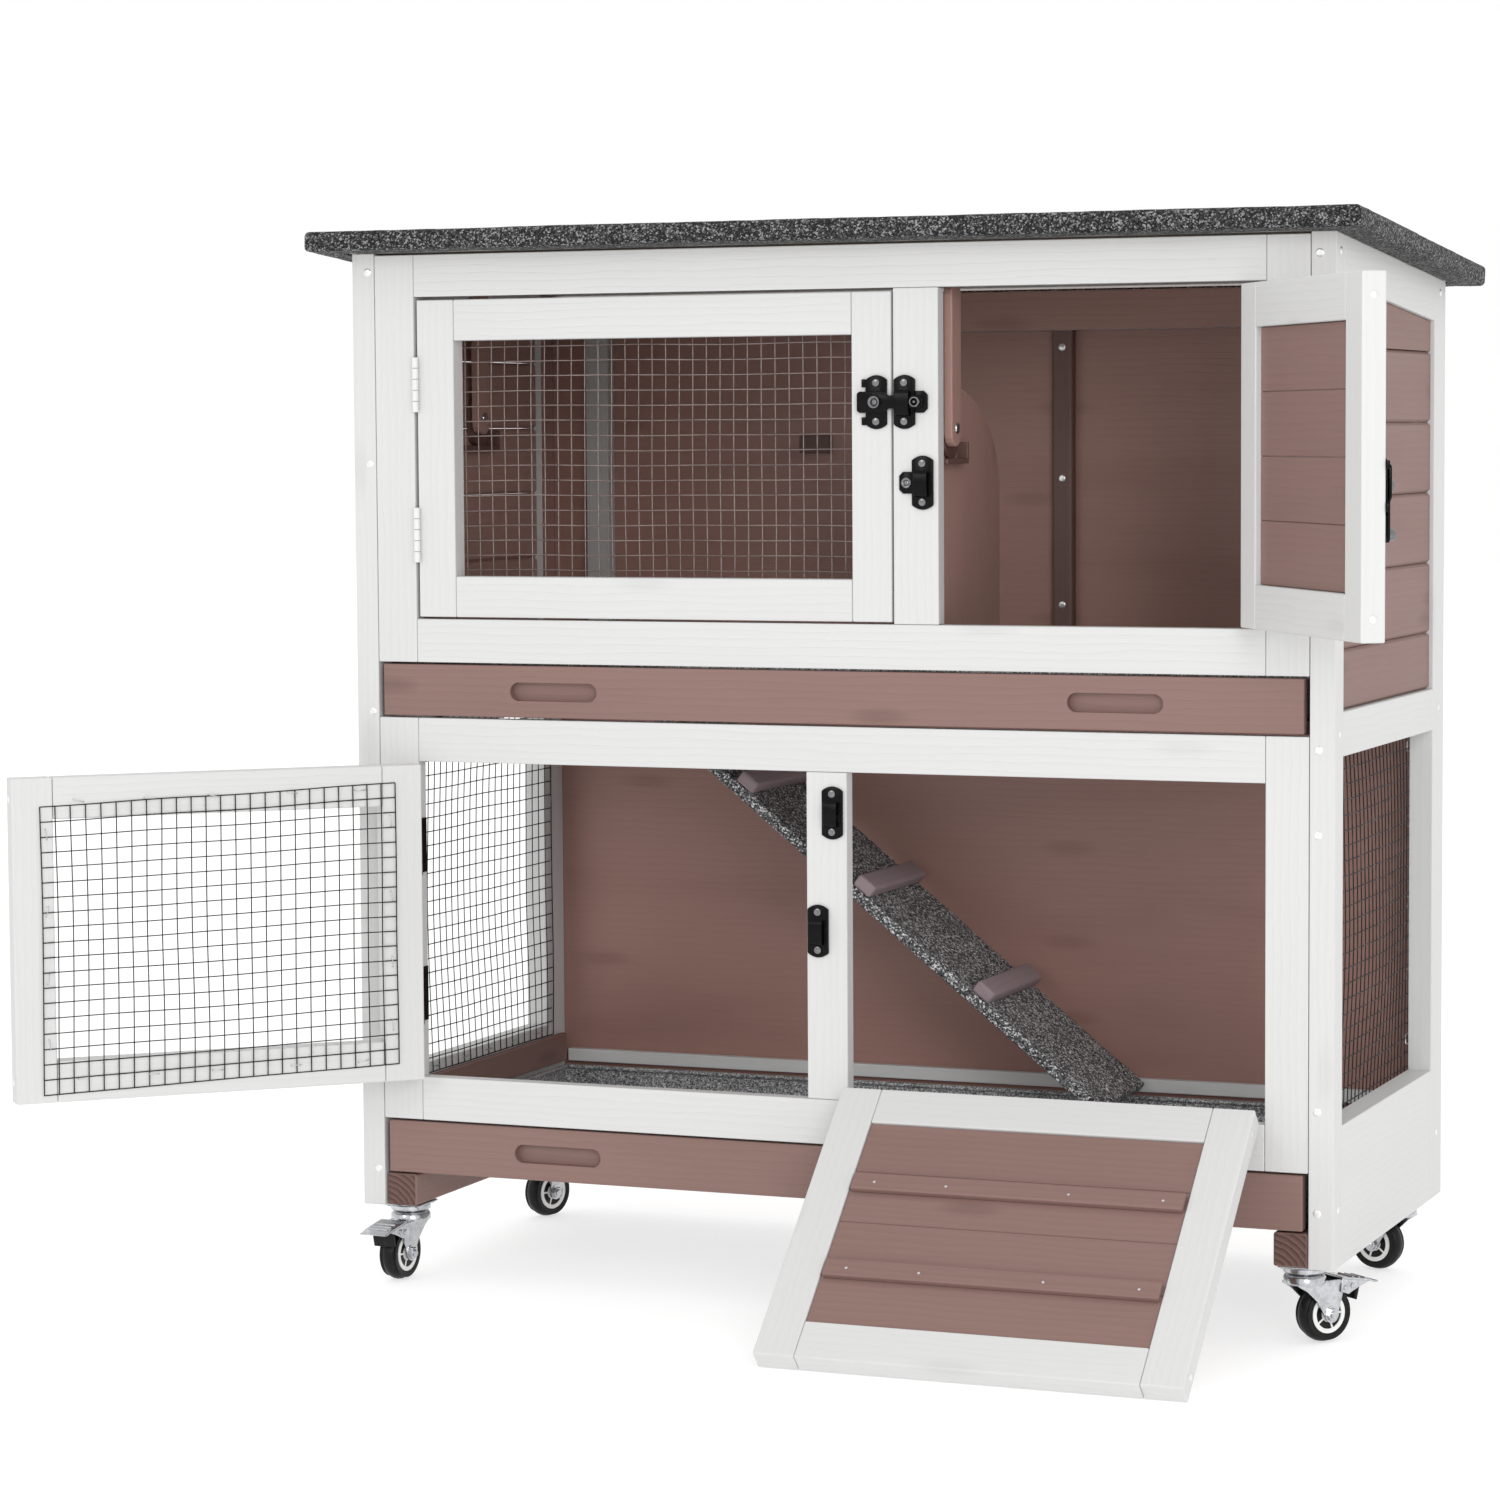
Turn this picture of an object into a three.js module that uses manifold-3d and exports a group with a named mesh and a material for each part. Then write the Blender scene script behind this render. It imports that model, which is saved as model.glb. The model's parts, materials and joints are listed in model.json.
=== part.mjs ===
// Two-storey rabbit hutch on casters. Millimetres, +Z up, front face towards -Y.
// While it is being built, x runs from the left side's outer face, y from the front face and z from the floor.
// The finished group is shifted so that its origin is the bottom centre of its bounding box.
import * as THREE from 'three';
import { mergeVertices } from 'three/addons/utils/BufferGeometryUtils.js';
import Module from 'manifold-3d';

const wasm = await Module();
wasm.setup();

// ---------- driving dimensions ----------
const GAP = 0.3; // clearance between pieces that touch
const BODY_W = 920; // over the side frames
const BODY_D = 400;
const SIDE_T = 22; // side frame thickness
const FRONT_T = 15; // front frame thickness
const DOOR_T = 20;
const WALL_FRONT_Z = 946; // top of the walls at the front
const WALL_BACK_Z = 916; // and at the back
const FOOT_Z = 70; // underside of the posts, on the casters
const DRAWER_LOW = [102, 150];
const LOWER_FRAME = [152, 523];
const LOWER_OPENING = [192, 483];
const DRAWER_HIGH = [525, 572];
const UPPER_FRAME_Z = 574;
const UPPER_OPENING = [613.5, 906];
const OPENING_X = [62, 859.5]; // outer jambs of the front openings
const UPPER_MULLION = [526, 567.5];
const LOWER_MULLION = [443, 481];
const ROOF_OVERHANG = { front: 40, side: 30, back: 35 };
const ROOF_T = 14;
const FELT_T = 2.4;
const STILE_W = 37; // door stiles and rails
const PIN_OUT = 3; // hinge pins stand this far in front of the front face
const LEFT_DOOR_OPEN = 136.8; // degrees
const RIGHT_DOOR_OPEN = 124.5;
const WHEEL_R = 25;
const WHEEL_W = 18;
const SWIVEL_INSET_X = 33;
const SWIVEL_Y = [30, 364];
const LADDER = { x: 195, z: 519, length: 571, slope: 38.9, y: [238, 381], t: 12 };

// ---------- finishes ----------
const material = (color, roughness, metalness = 0) =>
  new THREE.MeshStandardMaterial({ color, roughness, metalness });
const WHITE = material(0xe2e2e0, 0.55);
const BROWN = material(0x8b7069, 0.6);
const DARK_BROWN = material(0x6d5049, 0.65);
const FELT = material(0x4b4c4e, 0.95);
const PAN = material(0x8d9092, 0.5);
const WIRE = material(0x2c2c2c, 0.5, 0.4);
const BLACK = material(0x161616, 0.4, 0.5);
const ZINC = material(0xb9bcc0, 0.3, 0.9);
const TYRE = material(0x17171a, 0.7);

// ---------- shape helpers ----------
const radians = THREE.MathUtils.degToRad;

function outline(points, holes = []) {
  const shape = points instanceof THREE.Shape ? points : new THREE.Shape(points.map(([u, v]) => new THREE.Vector2(u, v)));
  shape.holes = holes.map((hole) => new THREE.Path(hole.map(([u, v]) => new THREE.Vector2(u, v))));
  return shape;
}

function extrude(shape, depth, steps = 8) {
  return new THREE.ExtrudeGeometry(shape, { depth, bevelEnabled: false, curveSegments: steps });
}

// An outline in (y, z), from x0 to x1.
function slabX(points, x0, x1, holes) {
  const turn = new THREE.Matrix4().makeBasis(
    new THREE.Vector3(0, 1, 0), new THREE.Vector3(0, 0, 1), new THREE.Vector3(1, 0, 0));
  return extrude(outline(points, holes), x1 - x0).applyMatrix4(turn).translate(x0, 0, 0);
}

// An outline in (x, z), from y0 to y1.
function slabY(points, y0, y1, holes) {
  return extrude(outline(points, holes), y1 - y0).rotateX(Math.PI / 2).translate(0, y1, 0);
}

// An outline in (x, y), from z0 to z1.
function slabZ(points, z0, z1, holes) {
  return extrude(outline(points, holes), z1 - z0).translate(0, 0, z0);
}

function block(x0, x1, y0, y1, z0, z1) {
  return new THREE.BoxGeometry(x1 - x0, y1 - y0, z1 - z0)
    .translate((x0 + x1) / 2, (y0 + y1) / 2, (z0 + z1) / 2);
}

const rectangle = (u0, u1, v0, v1) => [[u0, v0], [u1, v0], [u1, v1], [u0, v1]];

// A rod between two heights along one axis, with flats rather than corners facing down.
function rod(axis, radius, from, to, sides = 16) {
  const geometry = new THREE.CylinderGeometry(radius, radius, to - from, sides, 1, false, Math.PI / sides);
  geometry.translate(0, (from + to) / 2, 0);
  if (axis === 'x') geometry.rotateZ(-Math.PI / 2);
  if (axis === 'z') geometry.rotateX(Math.PI / 2);
  return geometry;
}

// A plate outline with half-round ends, centred on (u, v), longest along v.
function pill(u, v, width, height) {
  const r = width / 2;
  const shape = new THREE.Shape();
  shape.moveTo(u + r, v - height / 2 + r);
  shape.lineTo(u + r, v + height / 2 - r);
  shape.absarc(u, v + height / 2 - r, r, 0, Math.PI, false);
  shape.lineTo(u - r, v - height / 2 + r);
  shape.absarc(u, v - height / 2 + r, r, Math.PI, 2 * Math.PI, false);
  return shape;
}

function toSolid(geometry) {
  const bare = geometry.clone();
  bare.deleteAttribute('normal');
  bare.deleteAttribute('uv');
  const merged = mergeVertices(bare, 1e-4);
  return new wasm.Manifold(new wasm.Mesh({
    numProp: 3,
    vertProperties: new Float32Array(merged.attributes.position.array),
    triVerts: new Uint32Array(merged.index.array),
  }));
}

function toGeometry(solid) {
  const mesh = solid.getMesh();
  const geometry = new THREE.BufferGeometry();
  geometry.setAttribute('position', new THREE.BufferAttribute(new Float32Array(mesh.vertProperties), 3));
  geometry.setIndex(new THREE.BufferAttribute(new Uint32Array(mesh.triVerts), 1));
  geometry.computeVertexNormals();
  return geometry;
}

const join = (first, ...rest) =>
  toGeometry(rest.reduce((solid, other) => solid.add(toSolid(other)), toSolid(first)));
const cut = (first, ...rest) =>
  toGeometry(rest.reduce((solid, other) => solid.subtract(toSolid(other)), toSolid(first)));

const hutch = new THREE.Group();

function part(parent, name, geometry, finish) {
  const mesh = new THREE.Mesh(geometry, finish);
  mesh.name = name;
  parent.add(mesh);
  return mesh;
}

function groupAt(parent, x, y, z) {
  const group = new THREE.Group();
  group.position.set(x, y, z);
  parent.add(group);
  return group;
}

// ---------- side walls ----------
// Each side is one glued frame of posts and rails; its top follows the roof.
const wallTop = (y) => WALL_FRONT_Z - (WALL_FRONT_Z - WALL_BACK_Z) * (y / BODY_D);
const SIDE = { front: 28, back: 358, low: 190.5, mid: [505, 543], topRail: 40 };

function sideFrame(x) {
  const edge = [[0, FOOT_Z], [BODY_D, FOOT_Z], [BODY_D, wallTop(BODY_D)], [0, wallTop(0)]];
  const meshOpening = rectangle(SIDE.front, SIDE.back, SIDE.low, SIDE.mid[0]);
  const boardOpening = [
    [SIDE.front, SIDE.mid[1]],
    [SIDE.back, SIDE.mid[1]],
    [SIDE.back, wallTop(SIDE.back) - SIDE.topRail],
    [SIDE.front, wallTop(SIDE.front) - SIDE.topRail],
  ];
  return slabX(edge, x, x + SIDE_T, [meshOpening, boardOpening]);
}

// Tongued boards that fill the upper side, with a V groove at each joint.
function sideBoards(x) {
  const top = (y) => wallTop(y) - SIDE.topRail - GAP;
  const [front, back, bottom] = [SIDE.front + GAP, SIDE.back - GAP, SIDE.mid[1] + GAP];
  const sheet = slabX([[front, bottom], [back, bottom], [back, top(back)], [front, top(front)]], x, x + 12);
  const grooves = [];
  for (let i = 0; i < 5; i += 1) {
    const z = 594.5 + i * 64;
    const v = [[-1, z - 1.6], [1.6, z], [-1, z + 1.6]];
    const facing = x < BODY_W / 2 ? v.map(([u, w]) => [x + u, w]) : v.map(([u, w]) => [x + 12 - u, w]);
    grooves.push(slabY(facing, front - 5, back + 5));
  }
  return cut(sheet, ...grooves);
}

function sideMesh(x) {
  return block(x, x + 1.6, FRONT_T + 3, SIDE.back + 10, SIDE.low - 10, SIDE.mid[0] + 10);
}

part(hutch, 'left_side_frame', sideFrame(0), WHITE);
part(hutch, 'right_side_frame', sideFrame(BODY_W - SIDE_T), WHITE);
part(hutch, 'left_side_boards', sideBoards(4), BROWN);
part(hutch, 'right_side_boards', sideBoards(BODY_W - 16), BROWN);
part(hutch, 'left_side_mesh', sideMesh(SIDE_T + GAP), WIRE);
part(hutch, 'right_side_mesh', sideMesh(BODY_W - SIDE_T - GAP - 1.6), WIRE);

// ---------- front frames ----------
const INNER = [SIDE_T + GAP, BODY_W - SIDE_T - GAP]; // clear width between the side frames

function frontFrame(z0, z1, [low, high], mullion) {
  const holes = [[OPENING_X[0], mullion[0]], [mullion[1], OPENING_X[1]]];
  const cutters = holes.map(([x0, x1]) => block(x0, x1, -1, FRONT_T + 1, low, high));
  return cut(block(...INNER, 0, FRONT_T, z0, z1), ...cutters);
}

part(hutch, 'upper_front_frame', frontFrame(UPPER_FRAME_Z, WALL_FRONT_Z - 2, UPPER_OPENING, UPPER_MULLION), WHITE);
part(hutch, 'lower_front_frame', frontFrame(...LOWER_FRAME, LOWER_OPENING, LOWER_MULLION), WHITE);

// ---------- back wall ----------
part(hutch, 'upper_back_panel', block(...INNER, 386, 394, 514, wallTop(394) - 4), DARK_BROWN);
part(hutch, 'lower_back_panel', block(3, BODY_W - 3, BODY_D + GAP, 408, FOOT_Z + 2, 512), DARK_BROWN);
const backRail = block(...INNER, 366, 385.7, 876, wallTop(385.7) - 4);
const backStile = block(65, 89, 370, 385.7, 575, 880);
part(hutch, 'back_frame', join(backRail, backStile), WHITE);
part(hutch, 'back_batten', block(548, 569, 374, 385.7, 575, 875.7), DARK_BROWN);

// ---------- room divider, with a rounded edge beside its doorway ----------
function divider() {
  const shape = new THREE.Shape();
  shape.moveTo(FRONT_T + GAP, 576);
  shape.lineTo(187, 576);
  shape.lineTo(187, 730);
  shape.bezierCurveTo(187, 775, 130, 818, 60, 822);
  shape.lineTo(FRONT_T + GAP, 822);
  return slabX(shape, 548, 560);
}
part(hutch, 'divider_panel', divider(), BROWN);

// ---------- runners under the trays ----------
const RUNNER = { upperTop: 535, upperW: 18, lowerTop: 100, lowerW: 31 };
const mirrored = (x0, x1) => [BODY_W - x1, BODY_W - x0];
for (const [side, flip] of [['left', false], ['right', true]]) {
  const upper = [INNER[0], INNER[0] + RUNNER.upperW];
  const lower = [INNER[0] + 0.7, INNER[0] + RUNNER.lowerW];
  const [u, l] = flip ? [mirrored(...upper), mirrored(...lower)] : [upper, lower];
  part(hutch, `upper_${side}_runner`, block(...u, FRONT_T + 1, 385, 523.5, RUNNER.upperTop), BROWN);
  part(hutch, `lower_${side}_runner`, block(...l, 2, 398, FOOT_Z + 0.5, RUNNER.lowerTop), BROWN);
}

// ---------- ladder: a sloping board with three treads across it ----------
function ladder() {
  const board = block(0, LADDER.length, ...LADDER.y, -LADDER.t, 0);
  const treads = [];
  for (let i = 0; i < 3; i += 1) {
    const along = 106 + i * 151.5;
    treads.push(block(along, along + 21, LADDER.y[0], LADDER.y[1], -1, 13));
  }
  return join(board, ...treads);
}
const ladderGroup = groupAt(hutch, LADDER.x, 0, LADDER.z);
ladderGroup.rotation.y = radians(LADDER.slope);
part(ladderGroup, 'ladder', ladder(), FELT);

// ---------- trays ----------
// A slot routed into a drawer front, with round ends.
function fingerSlot(x, z) {
  const slot = pill(0, 0, 17, 86);
  return extrude(slot, 8).rotateZ(Math.PI / 2).rotateX(Math.PI / 2).translate(x, 6, z);
}

function trayFront([z0, z1]) {
  const middle = (z0 + z1) / 2;
  return cut(block(27, BODY_W - 27, 0, 12, z0, z1), fingerSlot(198, middle), fingerSlot(727, middle));
}

function trayPan(z0, z1, hatch) {
  const [x0, x1, y0, y1] = [30, BODY_W - 30, 12 + GAP, 384];
  const body = cut(block(x0, x1, y0, y1, z0, z1), block(x0 + 2, x1 - 2, y0 + 2, y1 - 2, z0 + 2, z1 + 5));
  return hatch ? cut(body, block(...hatch, z0 - 5, z0 + 5)) : body;
}

part(hutch, 'upper_tray_front', trayFront(DRAWER_HIGH), BROWN);
part(hutch, 'upper_tray_pan', trayPan(RUNNER.upperTop + GAP, 570, [150, 360, 232, 372]), PAN);
part(hutch, 'lower_tray_front', trayFront(DRAWER_LOW), BROWN);
part(hutch, 'lower_tray_pan', trayPan(RUNNER.lowerTop + GAP, 148), PAN);

// ---------- roof ----------
function roof() {
  const slope = Math.atan2(WALL_FRONT_Z - WALL_BACK_Z, BODY_D);
  const group = groupAt(hutch, 0, BODY_D, WALL_BACK_Z + 0.6);
  group.rotation.x = -slope;
  const [x0, x1] = [-ROOF_OVERHANG.side, BODY_W + ROOF_OVERHANG.side];
  const y0 = -(BODY_D + ROOF_OVERHANG.front) / Math.cos(slope);
  const y1 = ROOF_OVERHANG.back;
  part(group, 'roof_deck', block(x0 + 3, x1 - 3, y0 + 3, y1 - 3, 0, ROOF_T), WHITE);
  const wrap = block(x0, x1, y0, y1, 0, ROOF_T + GAP + FELT_T);
  const inside = block(x0 + 3 - GAP, x1 - 3 + GAP, y0 + 3 - GAP, y1 - 3 + GAP, -5, ROOF_T + GAP);
  part(group, 'roof_felt', cut(wrap, inside), FELT);
}
roof();

// ---------- roof stays: wooden bars that pivot on a screw ----------
// The screw runs back from the bar towards the wall that carries it.
function roofStay(name, x, y, z, screwBack) {
  const group = groupAt(hutch, x, y, z);
  const bar = slabX(pill(0, 56, 24, 144), 0, 8);
  const screw = rod('x', 4.5, -screwBack, 10, 12);
  part(group, name, join(bar, screw), BROWN);
}
roofStay('left_roof_stay', 24, 208, 797, 1);
roofStay('right_roof_stay', 564, 36, 784, 3);

// ---------- doors ----------
// A door is modelled closed: u runs along it from the hinge pin, v is depth behind the front face, z is up.
function doorFrame(u0, u1, z0, z1) {
  const hole = rectangle(u0 + STILE_W, u1 - STILE_W, z0 + STILE_W, z1 - STILE_W);
  return slabY(rectangle(u0, u1, z0, z1), PIN_OUT, PIN_OUT + DOOR_T, [hole]);
}

function doorMesh(u0, u1, z0, z1) {
  const lap = 17;
  const [back, front] = [PIN_OUT + DOOR_T + GAP, PIN_OUT + DOOR_T + GAP + 1.6];
  return block(u0 + lap, u1 - lap, back, front, z0 + lap, z1 - lap);
}

// Boards with V grooves on both faces, set in the middle of the door.
function doorBoards(u0, u1, z0, z1, count) {
  const inset = STILE_W + GAP;
  const [back, front] = [PIN_OUT + 5, PIN_OUT + 15];
  const sheet = block(u0 + inset, u1 - inset, back, front, z0 + inset, z1 - inset);
  const pitch = (z1 - z0 - 2 * inset) / count;
  const grooves = [];
  for (let i = 1; i < count; i += 1) {
    const z = z0 + inset + i * pitch;
    for (const [y, s] of [[back, 1], [front, -1]]) {
      grooves.push(slabX([[y - s, z - 1.6], [y - s, z + 1.6], [y + 1.6 * s, z]], u0, u1));
    }
  }
  return cut(sheet, ...grooves);
}

// Latch: a base plate on the door, an arm that turns on it, and a keeper plate on the mullion.
const LATCH = { w: 20, h: 47, t: 1.8, armR: 6, reach: 38, inset: 11 };

function latchPlate(u, z, side) {
  const tab = block(Math.min(u, u + side * 17), Math.max(u, u + side * 17), 0, LATCH.t, z - 9, z + 9);
  return join(slabY(pill(u, z, LATCH.w, LATCH.h), 0, LATCH.t), tab).translate(0, -LATCH.t - GAP, 0);
}

// The arm lies along +z in its own frame, from the pivot at the origin.
function latchArm() {
  const front = -LATCH.t - 2 * GAP;
  const bar = slabY(pill(0, LATCH.reach / 2, 2 * LATCH.armR, LATCH.reach + 2 * LATCH.armR), front - 3, front);
  const boss = rod('y', 8, front - 7, front, 12);
  const knob = rod('y', 5, front - 11, front - 1, 12).translate(0, 0, LATCH.reach);
  return join(bar, boss, knob);
}

// A shelf under the arm keeps it level; the arm lifts off it.
function keeper(x, z, side) {
  const plate = latchPlate(x, z, side);
  const y0 = -LATCH.t - GAP;
  const shelf = block(x - 8, x + 8, y0 - 5, y0 + 1, z - LATCH.armR - GAP - 3, z - LATCH.armR - GAP);
  return join(plate, shelf);
}

function latch(name, door, u, z, armAngle, keeperAt) {
  const plate = latchPlate(u, z, 0).translate(0, PIN_OUT, 0);
  part(door, `${name}_latch_plate`, plate, BLACK);
  const pivot = groupAt(door, u, PIN_OUT, z);
  pivot.rotation.y = radians(armAngle);
  part(pivot, `${name}_latch_arm`, latchArm(), BLACK);
  part(hutch, `${name}_latch_keeper`, keeper(...keeperAt), BLACK);
}

const upperDoorZ = [UPPER_OPENING[0] + 2, UPPER_OPENING[1] - 3];
const lowerDoorZ = [LOWER_OPENING[0] + 2, LOWER_OPENING[1] - 2];

// Upper left door: mesh, closed. Its pin is at the left edge.
function upperLeftDoor() {
  const pinX = OPENING_X[0] + 2.5;
  const group = groupAt(hutch, pinX, -PIN_OUT, 0);
  const span = [2, UPPER_MULLION[0] - 4 - pinX, ...upperDoorZ];
  part(group, 'upper_left_door_frame', doorFrame(...span), WHITE);
  part(group, 'upper_left_door_mesh', doorMesh(...span), WIRE);
  latch('upper_left', group, span[1] - LATCH.inset, 807, 90, [UPPER_MULLION[0] + 11, 807, 1]);
}

// Lower left door: mesh, swung open to the left.
function lowerLeftDoor() {
  const pinX = OPENING_X[0];
  const group = groupAt(hutch, pinX, -PIN_OUT, 0);
  group.rotation.z = -radians(LEFT_DOOR_OPEN);
  const span = [3, LOWER_MULLION[0] - 3 - pinX, ...lowerDoorZ];
  part(group, 'lower_left_door_frame', doorFrame(...span), WHITE);
  part(group, 'lower_left_door_mesh', doorMesh(...span), WIRE);
  latch('lower_left', group, span[1] - LATCH.inset, 342, 180, [LOWER_MULLION[0] + 11, 342, 0]);
}

// Upper right door: boarded, swung open to the right. It runs towards -x from its pin.
function upperRightDoor() {
  const pinX = OPENING_X[1] + 0.5;
  const group = groupAt(hutch, pinX, -PIN_OUT, 0);
  group.rotation.z = radians(RIGHT_DOOR_OPEN);
  const span = [-(pinX - UPPER_MULLION[1] - 3), -3, ...upperDoorZ];
  part(group, 'upper_right_door_frame', doorFrame(...span), WHITE);
  part(group, 'upper_right_door_boards', doorBoards(...span, 4), BROWN);
  latch('upper_right', group, span[0] + LATCH.inset, 737, 180, [UPPER_MULLION[1] - 14, 737, -1]);
}

// Ramp door: boarded, hinged along its bottom edge and folded down until its tip meets the floor.
function rampDoor() {
  const pinZ = LOWER_OPENING[0];
  const group = groupAt(hutch, 0, -PIN_OUT, pinZ);
  const span = [LOWER_MULLION[1] + 2.5, OPENING_X[1] - 2.5, 2, lowerDoorZ[1] - pinZ];
  const tipOuter = new THREE.Vector2(span[3], PIN_OUT);
  const reach = tipOuter.length();
  const below = Math.asin((pinZ - 0.5) / reach) + Math.atan2(PIN_OUT, span[3]);
  group.rotation.x = Math.PI / 2 + below;
  part(group, 'ramp_door_frame', doorFrame(...span), WHITE);
  const cleats = [0.36, 0.68].map((share) => {
    const z = THREE.MathUtils.lerp(span[2], span[3], share);
    const [u0, u1] = [span[0] + STILE_W + 2, span[1] - STILE_W - 2];
    return block(u0, u1, PIN_OUT + 14, PIN_OUT + DOOR_T + 4, z - 9, z + 9);
  });
  part(group, 'ramp_door_boards', join(doorBoards(...span, 4), ...cleats), BROWN);
  latch('ramp', group, span[0] + LATCH.inset, 447 - pinZ, 180, [LOWER_MULLION[1] - 13, 447, 0]);
}

upperLeftDoor();
lowerLeftDoor();
upperRightDoor();
rampDoor();

// ---------- casters ----------
const RACE = { r: 18.5, z: [58, 67] };
const TRAIL = 20; // wheel axle behind the swivel axis
const PLATE_HALF = 19;

function casterPlate() {
  const plate = block(-PLATE_HALF, PLATE_HALF, -PLATE_HALF, PLATE_HALF, RACE.z[1], FOOT_Z - GAP);
  const race = rod('z', RACE.r, RACE.z[0], RACE.z[1] + 1, 24);
  return join(plate, race);
}

// The fork's wheel lies along +x of the fork's own frame, TRAIL from the swivel axis.
function casterFork() {
  const crown = rod('z', 17, WHEEL_R * 2 + 2, RACE.z[0] - GAP, 24);
  const cheekOuter = WHEEL_W / 2 + 3.2;
  const cheekInner = WHEEL_W / 2 + 1;
  const cheek = [[-12, 55], [26, 55], [32, 46], [29, 34], [TRAIL + 6, WHEEL_R - 5], [TRAIL - 6, WHEEL_R - 5], [-2, 42]];
  const legs = [1, -1].map((s) => {
    const [a, b] = s > 0 ? [cheekInner, cheekOuter] : [-cheekOuter, -cheekInner];
    return slabY(cheek, a, b);
  });
  const bridge = block(-12, 12, -cheekOuter, cheekOuter, WHEEL_R * 2 + 2, 55);
  const axle = rod('y', 4, -cheekOuter - 3, cheekOuter + 3, 12).translate(TRAIL, 0, WHEEL_R);
  return join(crown, bridge, ...legs, axle);
}

function casterWheel() {
  const half = WHEEL_W / 2;
  const profile = [
    [4.3, -half], [10, -half], [17, -half + 2], [WHEEL_R - 3.5, -half], [WHEEL_R - 1, -half + 1.6],
    [WHEEL_R, -half + 5], [WHEEL_R, half - 5], [WHEEL_R - 1, half - 1.6], [WHEEL_R - 3.5, half],
    [17, half - 2], [10, half], [4.3, half], [4.3, -half],
  ].map(([r, h]) => new THREE.Vector2(r, h));
  return new THREE.LatheGeometry(profile, 32, Math.PI / 32);
}

// Brake pedal: a plate pressed down by the foot, with a lug that reaches towards the tyre.
const PEDAL_AT = [35, 47];
function brakePedal() {
  const [x, z] = [PEDAL_AT[0], PEDAL_AT[1]];
  const plate = block(-6, 32, -14, 14, 6.5, 8.5);
  const arms = [1, -1].map((s) => block(-5, 12, Math.min(s * 13.9, s * 12.5), Math.max(s * 13.9, s * 12.5), -4, 7.5));
  const shoe = block(12, 14, -11, 11, -10, 7.5);
  return join(plate, ...arms, shoe).rotateY(radians(9)).translate(x, 0, z);
}

function caster(name, x, y, heading, braked) {
  const group = groupAt(hutch, x, y, 0);
  part(group, `${name}_caster_plate`, casterPlate(), ZINC);
  const swivel = new THREE.Group();
  swivel.rotation.z = radians(heading);
  group.add(swivel);
  part(swivel, `${name}_caster_fork`, casterFork(), ZINC);
  const wheel = part(swivel, `${name}_caster_wheel`, casterWheel(), TYRE);
  wheel.position.set(TRAIL, 0, WHEEL_R);
  if (braked) part(swivel, `${name}_brake_pedal`, brakePedal(), ZINC);
}

const [LEFT_X, RIGHT_X] = [SWIVEL_INSET_X, BODY_W - SWIVEL_INSET_X];
caster('front_left', LEFT_X, SWIVEL_Y[0], -94, true);
caster('front_right', RIGHT_X, SWIVEL_Y[0], 52, true);
caster('rear_left', LEFT_X, SWIVEL_Y[1], -110, false);
caster('rear_right', RIGHT_X, SWIVEL_Y[1], 162, false);

// ---------- origin at the bottom centre of the bounding box ----------
hutch.updateMatrixWorld(true);
const box = new THREE.Box3().setFromObject(hutch, true);
const centre = box.getCenter(new THREE.Vector3());
hutch.position.set(-centre.x, -centre.y, -box.min.z);
hutch.name = 'rabbit_hutch';

export default hutch;
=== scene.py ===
"""A two-storey rabbit hutch on casters: the finished look of its timber, wire, felt and metal.

Metres throughout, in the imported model's frame: +X to the hutch's right, +Y to its back, +Z up.
The pieces come in the order in which the hutch is put together, after the studio around it.
"""
import json
import math
import random

import bmesh
import bpy
from mathutils import Matrix, Vector, noise


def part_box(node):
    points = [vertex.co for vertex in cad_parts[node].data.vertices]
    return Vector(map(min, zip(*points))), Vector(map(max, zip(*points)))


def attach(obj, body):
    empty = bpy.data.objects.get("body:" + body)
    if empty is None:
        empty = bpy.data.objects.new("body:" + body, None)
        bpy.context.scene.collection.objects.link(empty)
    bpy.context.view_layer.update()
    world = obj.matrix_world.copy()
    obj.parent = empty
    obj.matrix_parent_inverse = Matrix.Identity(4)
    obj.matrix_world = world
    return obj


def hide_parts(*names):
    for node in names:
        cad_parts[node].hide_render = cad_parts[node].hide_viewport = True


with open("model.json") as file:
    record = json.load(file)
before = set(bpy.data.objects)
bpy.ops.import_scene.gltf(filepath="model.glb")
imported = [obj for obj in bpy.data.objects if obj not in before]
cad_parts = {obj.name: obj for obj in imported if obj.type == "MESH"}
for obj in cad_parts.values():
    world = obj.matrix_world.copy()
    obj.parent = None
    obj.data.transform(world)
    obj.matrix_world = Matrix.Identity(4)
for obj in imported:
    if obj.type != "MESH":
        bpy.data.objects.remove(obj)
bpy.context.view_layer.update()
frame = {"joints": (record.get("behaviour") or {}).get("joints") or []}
joints = {joint["name"]: joint for joint in frame["joints"]}

# ---------- studio ----------
# A glowing white floor under an even white sky, with a strong softbox to the right and a weaker one
# to the left. The camera has a long lens, and stands to the hutch's right, a little above its middle.
EYE = Vector((1.3974, -3.5378, 0.7819))
EYE_TURN, EYE_DOWN, EYE_ROLL = math.radians(22.15), math.radians(4.14), math.radians(-0.36)
lens = bpy.data.cameras.new("eye")
lens.lens = 101.5
lens.shift_x, lens.shift_y = -0.0042, -0.0081
eye = bpy.data.objects.new("eye", lens)
eye.matrix_world = (
    Matrix.Translation(EYE)
    @ Matrix.Rotation(EYE_TURN, 4, "Z")
    @ Matrix.Rotation(math.pi / 2 - EYE_DOWN, 4, "X")
    @ Matrix.Rotation(EYE_ROLL, 4, "Z")
)
bpy.context.scene.collection.objects.link(eye)
bpy.context.scene.camera = eye
bpy.context.scene.view_settings.view_transform = "Standard"

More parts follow.
